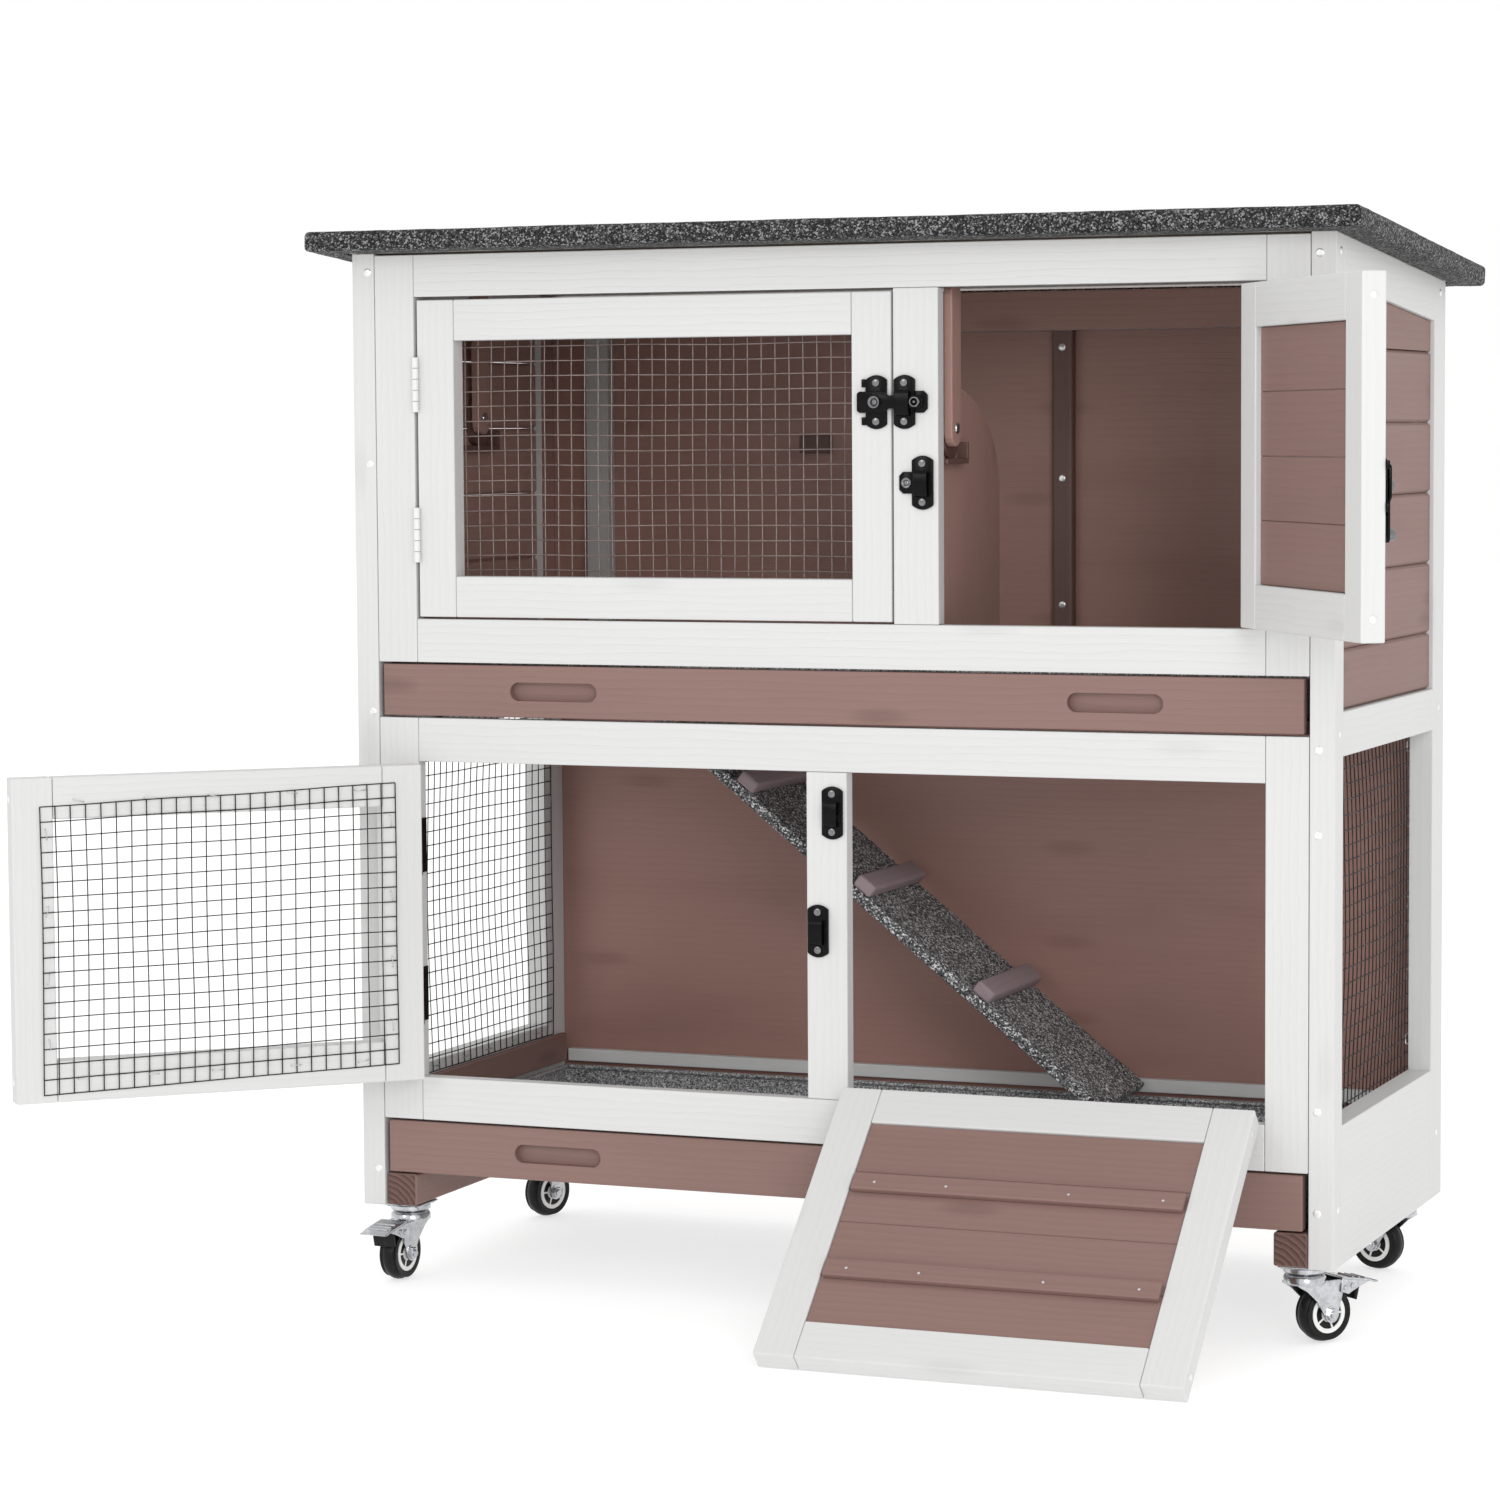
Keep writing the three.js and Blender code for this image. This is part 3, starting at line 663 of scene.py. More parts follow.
def routed_front(low, high, slots):
    """A board with round-ended slots routed into its face."""
    blank = bmesh_object("blank", slab(low, high, 0.0014, 3))
    middle = (low.z + high.z) / 2
    for x in slots:
        points = []
        for k in range(24):
            angle = math.tau * (k + 0.5) / 24
            along = SLOT_HALF if math.cos(angle) > 0 else -SLOT_HALF
            points.append((x + along + SLOT_R * math.cos(angle), middle + SLOT_R * math.sin(angle)))
        bit = bmesh_object("router_bit", prism(points, Y, low.y - 0.004, low.y + SLOT_DEEP, 0))
        carve(blank, bit)
    carved = bmesh.new()
    carved.from_mesh(blank.data)
    bpy.data.objects.remove(blank)
    return carved


def bmesh_object(name, solid):
    mesh = bpy.data.meshes.new(name)
    solid.to_mesh(mesh)
    solid.free()
    made = bpy.data.objects.new(name, mesh)
    bpy.context.scene.collection.objects.link(made)
    return made


def carve(piece, cutter):
    """Takes the cutter's shape out of the piece, and the cutter away."""
    cut = piece.modifiers.new("cut", "BOOLEAN")
    cut.operation = "DIFFERENCE"
    cut.solver = "EXACT"
    cut.object = cutter
    bpy.context.view_layer.update()
    done = bpy.data.meshes.new_from_object(piece.evaluated_get(bpy.context.evaluated_depsgraph_get()))
    piece.modifiers.clear()
    piece.data = done
    bpy.data.objects.remove(cutter)


def folded_pan(low, high, hatch=None):
    """A pan of 1 mm sheet with its rims rolled over outwards."""
    sheet, rim = 0.0011, 0.0042
    pan = Joinery()
    floor_low, floor_high = (low.x, low.y, low.z), (high.x, high.y, low.z + sheet)
    if hatch:
        x0, x1, y0, y1 = hatch
        pan.add(slab(floor_low, (x0, high.y, low.z + sheet), 0))
        pan.add(slab((x1, low.y, low.z), floor_high, 0))
        pan.add(slab((x0, low.y, low.z), (x1, y0, low.z + sheet), 0))
        pan.add(slab((x0, y1, low.z), (x1, high.y, low.z + sheet), 0))
    else:
        pan.add(slab(floor_low, floor_high, 0))
    for x, way in ((low.x, 1), (high.x, -1)):
        pan.add(slab((min(x, x + way * sheet), low.y, low.z), (max(x, x + way * sheet), high.y, high.z), 0))
        roll = [Vector((x + way * rim / 2, y, high.z - rim / 2)) for y in (low.y, high.y)]
        pan.add(tube(roll, rim / 2, 10))
    for y, way in ((low.y, 1), (high.y, -1)):
        pan.add(slab((low.x, min(y, y + way * sheet), low.z), (high.x, max(y, y + way * sheet), high.z), 0))
        roll = [Vector((x, y + way * rim / 2, high.z - rim / 2)) for x in (low.x, high.x)]
        pan.add(tube(roll, rim / 2, 10))
    return pan


for tray, hatch in (("upper_tray", (0.150, 0.360, 0.232, 0.372)), ("lower_tray", None)):
    low, high = span(f"{tray}_front")
    wood = Joinery().add(routed_front(low, high, FINGER_SLOTS), X)
    wood.fit(f"{tray}_drawer_front", tray, "brown_paint", brown_fir, stands_for=f"{tray}_front")
    low, high = span(f"{tray}_pan")
    pan = folded_pan(low, high, hatch)
    pan.fit(f"{tray}_folded_pan", tray, "tray_pan", speckled, stands_for=f"{tray}_pan", smooth=40)

# ---------- ladder ----------
# A sloping board wrapped in mineral felt runs down from the hatch, with three treads of purplish
# brown fir nailed across it, their arrises planed off.
LADDER_TOP = HOME + Vector((0.195, 0, 0.519))
LADDER_SLOPE = math.radians(38.9)
LADDER_LONG, LADDER_T = 0.571, 0.012
TREAD_FIRST, TREAD_EVERY, TREAD_W, TREAD_H = 0.106, 0.1515, 0.021, 0.013


def mineral_felt(name, dark, pale):
    """Bitumen felt rolled with crushed slate: each granule is its own grey, and some glint white."""
    coat = Finish(name)
    place = coat.node("TexCoord", None, None, "Object")
    grit = {"Vector": place, "Scale": 740.0}
    tint = coat.node("TexVoronoi", None, grit, "Color")
    cells = coat.node("TexVoronoi", None, grit, "Distance")
    broad = coat.noise(40.0, 4.0)
    pick = coat.node("SeparateColor", None, {"Color": tint})
    shades = ((0.0, dark * 0.15), (0.42, dark), (0.74, (dark + pale) * 0.22), (0.96, pale))
    stops = [(at, opaque((shade, shade, shade * 1.02))) for at, shade in shades]
    colour = coat.node("ValToRGB", {"stops": stops}, {"Fac": pick + (broad - 0.5) * 0.25})
    relief = pick * 0.6 + (1 - cells) * 0.5
    return coat.close({"Base Color": colour, "Roughness": 0.95 - pick * 0.25}, relief, 0.0011)


ladder_felt = mineral_felt("ladder_felt", 0.095, 0.95)
tread_fir = painted_fir("tread_fir", (0.34, 0.265, 0.285), (0.20, 0.14, 0.15), 0.35, 0.2, 0.6)

down = Matrix.Translation(LADDER_TOP) @ Matrix.Rotation(LADDER_SLOPE, 4, "Y")
low, high = span("ladder")
y0, y1 = low.y, high.y
under = ((0.001, y0 + 0.012, -LADDER_T), (LADDER_LONG - 0.001, y1 - 0.012, -0.0113))
board = Joinery().add(slab(*under, 0.0003), X)
board.fit("ladder_board", "frame", "brown_paint", brown_fir, down)


def granular_sheet(low, high, cell, lump, eased):
    """A sheet of coarse felt: a closed slab whose skin is divided into cells and roughened."""
    solid = slab(low, high, 0)
    for axis in (X, Y):
        count = max(1, round((high[axis] - low[axis]) / cell))
        for k in range(1, count):
            divide(solid, axis, low[axis] + (high[axis] - low[axis]) * k / count)
    ease(solid, eased, 3)
    middle = (low[Z] + high[Z]) / 2
    for vert in solid.verts:
        rough = noise.noise(vert.co * 160) * lump + noise.noise(vert.co * 25) * lump
        if vert.co.z > middle - 0.001:
            vert.co += Vector((0, 0, 1)) * (rough - lump)
    return solid


felt = Joinery().add(granular_sheet((0, y0, -0.0112), (LADDER_LONG, y1, 0.0), 0.012, 0.0004, 0.0022))
felt.fit("ladder_felt_cover", "frame", "roofing_felt", ladder_felt, down, stands_for="ladder", smooth=50)
treads = Joinery()
for k in range(3):
    along = TREAD_FIRST + TREAD_EVERY * k
    rounded = prism(rectangle(along, along + TREAD_W, 0.0002, TREAD_H), Y, y0 - 0.001, y1 - 0.0015, 0.0028, 3)
    treads.add(rounded, Y)
treads.fit("ladder_treads", "frame", "brown_paint", tread_fir, down, smooth=40)

# ---------- roof ----------
# One plywood lid, hinged at its back edge and lifted by hand. Mineral felt covers its top and is
# folded down over all four edges and back under the overhang, where it is tacked.
roof_felt_finish = mineral_felt("roof_granules", 0.009, 0.28)
bare_ply = painted_fir("bare_ply", (0.62, 0.60, 0.57), (0.40, 0.36, 0.32), 0.35, 0.25, 0.7)
ROOF_SLOPE = math.atan2(WALL_FALL, DEPTH)
DECK_T, FELT_T = 0.014, 0.0024
LID_BACK = HOME + Vector((0, DEPTH, WALL_FRONT - WALL_FALL + 0.0006))
lid = Matrix.Translation(LID_BACK) @ Matrix.Rotation(-ROOF_SLOPE, 4, "X")
LID_SIDE, LID_FRONT, LID_REAR = 0.030, 0.040, 0.035
lid_low = Vector((-LID_SIDE, -(DEPTH + LID_FRONT) / math.cos(ROOF_SLOPE), 0))
lid_high = Vector((WIDTH + LID_SIDE, LID_REAR, DECK_T + FELT_T + 0.0003))
FELT_RETURN = 0.027
felt_low = lid_low - Vector((0, 0, FELT_T))
inset = Vector((0.0042, 0.0042, 0))
deck = Joinery().add(slab(lid_low + inset, lid_high - inset - Vector((0, 0, FELT_T + 0.0004)), 0.0008), X)
deck.fit("lid_board", "roof", "bare_board", bare_ply, lid, stands_for="roof_deck")


def felt_wrap(low, high, thick, cell, lump):
    """Felt folded over a board's four edges and back under them, rounded and roughened."""
    skin = slab(low, high, 0)
    for axis in (X, Y):
        inner = (low[axis] + FELT_RETURN, high[axis] - FELT_RETURN)
        count = round((inner[1] - inner[0]) / cell)
        cuts = [inner[0] + (inner[1] - inner[0]) * k / count for k in range(count + 1)]
        for at in (low[axis] + FELT_RETURN / 2, *cuts, high[axis] - FELT_RETURN / 2):
            divide(skin, axis, at)
    skin.normal_update()
    covered = []
    for face in skin.faces:
        middle = face.calc_center_median()
        inside = all(low[a] + FELT_RETURN < middle[a] < high[a] - FELT_RETURN for a in (X, Y))
        if inside and face.normal.z < -0.5:
            covered.append(face)
    bmesh.ops.delete(skin, geom=covered, context="FACES")
    ease(skin, 0.0048, 4)
    skin.normal_update()
    for vert in skin.verts:
        rough = noise.noise(vert.co * 90) + noise.noise(vert.co * 11) * 1.4
        vert.co -= vert.normal * lump * (1 + rough) * 0.5
    cap = bmesh_object("cap", skin)
    wall = cap.modifiers.new("wall", "SOLIDIFY")
    wall.thickness, wall.offset = thick, -1
    bpy.context.view_layer.update()
    made = bmesh.new()
    made.from_mesh(cap.evaluated_get(bpy.context.evaluated_depsgraph_get()).to_mesh())
    bpy.data.objects.remove(cap)
    return made


cover = Joinery().add(felt_wrap(felt_low, lid_high, FELT_T - 0.0004, 0.012, 0.0008))
cover.fit("lid_felt", "roof", "roofing_felt", roof_felt_finish, lid, stands_for="roof_felt", smooth=60)

# ---------- roof stays ----------
# Wooden props pivot on a bright screw, one on the divider and one on the left wall, and swing up to
# hold the lid open. A rounded wooden block and a shallow ledge carry each at its foot.
STAY_W, STAY_T, STAY_LOW, STAY_HIGH = 0.024, 0.008, 0.016, 0.128
STAY_BLOCK = (-0.028, 0.022, 0.030)  # foot, top and width


def round_ended(low, high, width, steps=8):
    """An outline with half-round ends, centred on u = 0 and longest along v."""
    r = width / 2
    points = []
    for k in range(2 * steps + 2):
        turn = math.pi * (k if k <= steps else k - 1) / steps
        centre = high - r if k <= steps else low + r
        points.append((r * math.cos(turn), centre + r * math.sin(turn)))
    return points


def lathe(profile, at, way, sides=20):
    """A solid of revolution: (radius, height) pairs around an axis from a point, closed at both ends."""
    solid = bmesh.new()
    rings = []
    for radius, height in profile:
        if radius < 1e-6:
            rings.append([solid.verts.new((0, 0, height))])
        else:
            spots = [math.tau * (k + 0.5) / sides for k in range(sides)]
            ring = [(radius * math.cos(t), radius * math.sin(t), height) for t in spots]
            rings.append([solid.verts.new(spot) for spot in ring])
    for ring, after in zip(rings, rings[1:]):
        for k in range(sides):
            face = [ring[k - 1], ring[k]] if len(ring) > 1 else [ring[0]]
            face += [after[k], after[k - 1]] if len(after) > 1 else [after[0]]
            solid.faces.new(face)
    if len(rings[0]) > 1:
        solid.faces.new(rings[0][::-1])
    if len(rings[-1]) > 1:
        solid.faces.new(rings[-1])
    stand = Vector(way).to_track_quat("Z", "X").to_matrix().to_4x4()
    solid.transform(Matrix.Translation(at) @ stand)
    bmesh.ops.recalc_face_normals(solid, faces=solid.faces)
    return solid


def screw_head(row, at, way, radius=0.0036, lift=0.0011, spin=None):
    """A countersunk cross-head screw: a domed ring, and four raised quarters around the cross."""
    spin = dice.uniform(0, math.pi / 2) if spin is None else spin
    stand = Matrix.Translation(at) @ Vector(way).to_track_quat("Z", "X").to_matrix().to_4x4()
    stand = stand @ Matrix.Rotation(spin, 4, "Z")
    bore = radius * 0.62
    dome = [(bore, -0.0004), (radius, -0.0004), (radius, lift * 0.25), (radius * 0.86, lift * 0.8)]
    dome += [(bore, lift), (bore, -0.0004)]
    ring = lathe(dome[:-1], (0, 0, 0), (0, 0, 1), 20)
    row.add(ring, X, stand)
    slot = radius * 0.13
    for quarter in range(4):
        wedge = [(slot, slot)]
        for k in range(4):
            angle = math.radians(14 + 62 * k / 3)
            wedge.append((bore * math.cos(angle), bore * math.sin(angle)))
        turned = Matrix.Rotation(math.pi / 2 * quarter, 4, "Z")
        row.add(prism(wedge, Z, lift * 0.2, lift * 0.98, 0), X, stand @ turned)


zinc = plated("bright_zinc", (0.76, 0.77, 0.79), (0.30, 0.31, 0.33), 0.08)

for side, x, wall in (("left", 0.024, 0.016), ("right", 0.564, 0.5603)):
    pivot = Vector(joints[f"{side}_stay_swing"]["pos_m"]) - HOME
    foot = Matrix.Translation(HOME + Vector((x, pivot.y, pivot.z)))
    outline = round_ended(-STAY_LOW, STAY_HIGH, STAY_W)
    # The bar is drawn in the lighter copy of the brown: painted light.
    bar = Joinery().add(prism(outline, X, 0, STAY_T, 0.0012, 3), Z)
    hidden = f"{side}_roof_stay"
    bar.fit(f"{side}_stay_bar", f"{side}_stay", "brown_paint", inner_fir, foot, hidden)
    pin = Joinery().add(lathe([(0.002, -0.004), (0.002, STAY_T)], (0, 0, 0), (1, 0, 0)))
    screw_head(pin, (STAY_T + 0.0002, 0, 0), (1, 0, 0), 0.0048, 0.0018, 0.4)
    pin.fit(f"{side}_stay_screw", f"{side}_stay", "zinc", zinc, foot, smooth=40)
    # The block and its ledge are drawn in the darker copy of the brown: painted shade.
    bed = Joinery()
    block = [(u * 1.15 + 0.011, v) for u, v in round_ended(*STAY_BLOCK)]
    bed.add(prism(block, X, wall - x, -0.0006, 0.0010, 2), Z)
    ledge = [(-0.018, -0.031), (0.038, -0.031), (0.038, -0.012)]
    ledge += [(0.0345, -0.012), (0.0345, -0.0265), (-0.018, -0.0265)]
    bed.add(prism(ledge, X, wall - x, 0.006, 0.0006), Y)
    bed.fit(f"{side}_stay_block", "frame", "brown_paint", batten_fir, foot)

# ---------- doors ----------
# Four doors of the same make: two stiles the full height and two rails between them, glued and
# screwed. Each is made here shut, in its own frame: u from the hinge pin, v back from the front.
PIN_OUT, DOOR_T, STILE = 0.003, 0.020, 0.037
UPPER_LEVELS = (UPPER_HOLE[0] + 0.002, UPPER_HOLE[1] - 0.003)
LOWER_LEVELS = (LOWER_HOLE[0] + 0.001, LOWER_HOLE[1] - 0.001)


def hung(joint, shut, base):
    """Where a door's own frame stands at rest, from the joint angle at which the door is shut."""
    pin = Vector(joints[joint]["pos_m"])
    pin.z = base
    return Matrix.Translation(pin) @ Matrix.Rotation(math.radians(-shut), 4, Vector(joints[joint]["axis"]))


def pin_x(joint):
    return joints[joint]["pos_m"][0] - HOME.x


DOORS = {
    "upper_left_door": (
        hung("upper_left_door_swing", 0, HOME.z),
        (0.0004, UPPER_MULLION[0] - 0.002 - pin_x("upper_left_door_swing"), *UPPER_LEVELS),
    ),
    "lower_left_door": (
        hung("lower_left_door_swing", joints["lower_left_door_swing"]["range_deg"][0], HOME.z),
        (0.003, LOWER_MULLION[0] - 0.003 - pin_x("lower_left_door_swing"), *LOWER_LEVELS),
    ),
    "upper_right_door": (
        hung("upper_right_door_swing", joints["upper_right_door_swing"]["range_deg"][0], HOME.z),
        (UPPER_MULLION[1] + 0.003 - pin_x("upper_right_door_swing"), -0.003, *UPPER_LEVELS),
    ),
}
ramp_pin = Vector(joints["ramp_close"]["pos_m"])
ramp_place = hung("ramp_close", joints["ramp_close"]["range_deg"][1], ramp_pin.z)
ramp_shift = Matrix.Translation((HOME.x - ramp_pin.x, 0, 0))
DOORS["ramp_door"] = (
    ramp_place @ ramp_shift,
    (LOWER_MULLION[1] + 0.0025, OPENINGS[1] - 0.0025, 0.002, LOWER_LEVELS[1] - LOWER_HOLE[0]),
)

for door, (place, (u0, u1, z0, z1)) in DOORS.items():
    wood = Joinery()
    depth = (PIN_OUT, PIN_OUT + DOOR_T)
    for a, b in ((u0, u0 + STILE - HAIRLINE), (u1 - STILE + HAIRLINE, u1)):
        wood.add(prism(rectangle(a, b, z0, z1), Y, *depth, 0.0013, 3), Z)
    for a, b in ((z0, z0 + STILE), (z1 - STILE, z1)):
        wood.add(prism(rectangle(u0 + STILE, u1 - STILE, a, b), Y, *depth, 0.0013, 3), X)
    wood.fit(f"{door}_timbers", door, "white_paint", white_fir, place, f"{door}_frame")

# ---------- wire of the two mesh doors ----------
# Netting of the same roll, stapled to the inside of each door frame and cut about 10 mm over it.
NET_IN_U, NET_IN_Z = 0.025, 0.016
# The upper left door's wire is a lighter copy of the dark wire: painted light.
bright_wire = plated("bright_wire", (0.33, 0.27, 0.25), (0.16, 0.12, 0.11), 0.45, 0.6)
for door, finish, sag in (("upper_left_door", bright_wire, 0.0), ("lower_left_door", wire_finish, 0.009)):
    place, (u0, u1, z0, z1) = DOORS[door]
    back = PIN_OUT + DOOR_T + 0.0012
    spread = Matrix(((-1, 0, 0, u1 - NET_IN_U), (0, 0, 1, back), (0, 1, 0, z0 + NET_IN_Z), (0, 0, 0, 1)))
    size = (u1 - u0 - 2 * NET_IN_U, z1 - z0 - 2 * NET_IN_Z)
    net = netting(size, 0.0016, sag)
    net.fit(f"{door}_netting", door, "wire_mesh", finish, place @ spread, f"{door}_mesh", 60)
    staples(size, 0.005).fit(f"{door}_staples", door, "screw", staple_finish, place @ spread, smooth=60)

# ---------- boards of the solid door and the ramp ----------
# Four tongued boards fill each, level with neither face. The ramp has two cleats nailed across its
# inner face, which is the one walked on when it is down.
CLEATS, CLEAT_HALF = (0.36, 0.68), 0.009
CLEAT_NAILS = (0.07, 0.29, 0.66, 0.94)

for door, rise in (("upper_right_door", 0.0), ("ramp_door", 0.003)):
    place, (u0, u1, z0, z1) = DOORS[door]
    inset = STILE + 0.0003
    front, back = PIN_OUT + 0.005, PIN_OUT + 0.015 + rise
    pitch = (z1 - z0 - 2 * inset) / 4
    wood = Joinery()
    for k in range(4):
        foot = z0 + inset + k * pitch
        section = board_section(front, back, foot, foot + pitch, 0.0008, 0.0001)
        wood.add(prism(section, X, u0 + inset, u1 - inset, 0), X)
    if door == "ramp_door":
        nails = Joinery()
        nail = [(0.0013, -0.001), (0.0013, 0.0002), (0.0009, 0.0004)]
        left, right, top = u0 + STILE + 0.002, u1 - STILE - 0.002, PIN_OUT + DOOR_T + 0.004
        for share in CLEATS:
            middle = z0 + (z1 - z0) * share
            strip = rectangle(back + 0.0001, top, middle - CLEAT_HALF, middle + CLEAT_HALF)
            wood.add(prism(strip, X, left, right, 0.0014, 3), X)
            for part in CLEAT_NAILS:
                at = (left + (right - left) * part, top + 0.0001, middle + 0.001)
                nails.add(lathe(nail, at, (0, 1, 0), 10))
        nails.fit("ramp_cleat_nails", door, "screw", staple_finish, place, smooth=40)
    wood.fit(f"{door}_tongued_boards", door, "brown_paint", brown_fir, place, f"{door}_boards")

# ---------- hinges ----------
# Small butt hinges, two to a door: a leaf on the jamb, a leaf on the door's edge, and five knuckles
# on a pin in front of the face. Those of the upper doors are white, the lower ones black.
LEAF_T, LEAF_LONG, KNUCKLE_R = 0.0009, 0.050, 0.0029


def coated_metal(name, colour, worn, roughness, shine):
    coat = Finish(name)
    orange_peel = coat.noise(700.0, 2.0)
    rub = coat.ramp(coat.noise(60.0, 6.0, 0.7), 0.60, 0.78)
    shade = coat.blend(rub, colour, worn)
    sockets = {"Base Color": shade, "Roughness": rub * 0.25 + roughness, "Specular IOR Level": shine}
    return coat.close(sockets, orange_peel, 0.00012)


white_metal = coated_metal("white_metal", (0.72, 0.72, 0.71), (0.56, 0.56, 0.55), 0.38, 0.5)
black_metal = coated_metal("black_metal", (0.003, 0.003, 0.003), (0.02, 0.02, 0.02), 0.16, 0.12)


def butt_hinge(name, door, pin_place, door_place, jamb, edge, middle, finish, slot):
    """One hinge along z. Jamb and edge each say how far along u its leaf backs, and which way it looks."""
    knuckle = LEAF_LONG / 5
    apart = abs(edge[0] + edge[1] * LEAF_T - jamb[0] - jamb[1] * LEAF_T)
    halves = (("frame", pin_place, jamb, 0), (door, door_place, edge, 1))
    for body, place, (back, way), odd in halves:
        half = Joinery()
        for k in range(5):
            if k % 2 == odd:
                low = middle - LEAF_LONG / 2 + k * knuckle + 0.0002
                rolled = [(KNUCKLE_R - 0.0004, 0), (KNUCKLE_R, 0.0004), (KNUCKLE_R, knuckle - 0.0008)]
                rolled.append((KNUCKLE_R - 0.0004, knuckle - 0.0004))
                half.add(lathe(rolled, (0, 0, low), (0, 0, 1), 16))
        face = back + way * LEAF_T
        leaf = (min(back, face), max(back, face))
        deep = FRONT_T if body == "frame" else DOOR_T
        low, high = middle - LEAF_LONG / 2, middle + LEAF_LONG / 2
        half.add(slab((leaf[0], -0.0005, low), (leaf[1], PIN_OUT + deep - 0.002, high), 0.0003, 1))
        for z in (-0.016, 0.016):
            screw_head(half, (face, PIN_OUT + deep * 0.55, middle + z), (way, 0, 0), 0.0026, apart * 0.4)
        label = "jamb" if body == "frame" else "door"
        half.fit(f"{name}_{label}_half", body, slot, finish, place, smooth=35)


for door, jamb, edge, middles, finish, slot in (
    ("upper_left_door", (-0.0025, 1), (0.0004, -1), (0.690, 0.8265), white_metal, "white_paint"),
    ("upper_right_door", (-0.0005, -1), (-0.003, 1), (0.690, 0.8265), white_metal, "white_paint"),
    ("lower_left_door", (0, 1), (0.003, -1), (0.2685, 0.4055), black_metal, "black_hardware"),
):
    pin = Vector(joints[f"{door}_swing"]["pos_m"])
    upright = Matrix.Translation((pin.x, pin.y, HOME.z))
    for k, middle in enumerate(middles):
        label = f"{door}_hinge_{k + 1}"
        butt_hinge(label, door, upright, DOORS[door][0], jamb, edge, middle, finish, slot)
lying = Matrix(((0, 0, -1, 0), (0, 1, 0, 0), (1, 0, 0, 0), (0, 0, 0, 1)))
for k, middle in enumerate((0.545, 0.800)):
    fixed = Matrix.Translation((HOME.x, ramp_pin.y, ramp_pin.z)) @ lying
    moving = DOORS["ramp_door"][0] @ lying
    label = f"ramp_door_hinge_{k + 1}"
    butt_hinge(label, "ramp_door", fixed, moving, (0, 1), (0.002, -1), -middle, black_metal, "black_hardware")

# ---------- latches ----------
# Black pressed-steel latches. A plate on the door carries an arm that turns on a rivet, and its
# tongue slides under the strap of a keeper on the mullion. Two cross-head screws hold each plate.
PLATE_W, PLATE_H, PLATE_T = 0.020, 0.047, 0.0018
SCREW_OFF = 0.0168
CROWN = 0.0040  # how far the plate's ends bulge
ARM_REACH = 0.038


black_chrome = plated("black_chrome", (0.30, 0.30, 0.31), (0.12, 0.12, 0.125), 0.10)


def shield(w, h, crown):
    """A plate outline with straight sides and shallow arcs at the top and the bottom."""
    points = []
    for way in (1, -1):
        for k in range(9):
            t = -1 + k / 4
            points.append((-way * t * w / 2, way * (h / 2 - crown * t * t)))
    return points


def strap(low, high, width, rise, thick):
    """A hook bent from strip: it leaves the plate at the foot, stands off it and ends in a free lip."""
    outer = [(0, low), (-rise * 0.75, low + 0.0012), (-rise, low + 0.0036)]
    outer += [(-rise, high - 0.0034), (-rise * 0.90, high - 0.0012), (-rise * 0.74, high)]
    inner = [(-rise * 0.74 + thick * 0.8, high - thick * 0.7), (-rise + thick, high - 0.0044)]
    inner += [(-rise + thick, low + 0.0044), (-rise * 0.62, low + 0.0012 + thick), (0, low + thick * 1.2)]
    return prism(outer + inner, X, -width / 2, width / 2, 0.00025, 1)


def rivet(row, at, radius, lift):
    """A rivet head ringed by a groove, facing the front."""
    ring = [(radius * 0.55, 0), (radius * 0.55, lift * 0.75), (radius * 0.72, lift), (radius * 0.9, lift)]
    ring += [(radius, lift * 0.7), (radius, 0)]
    row.add(lathe(ring, at, (0, -1, 0), 20))
    stem = [(radius * 0.45, 0), (radius * 0.45, lift * 0.7), (radius * 0.2, lift)]
    row.add(lathe(stem, at, (0, -1, 0), 16))


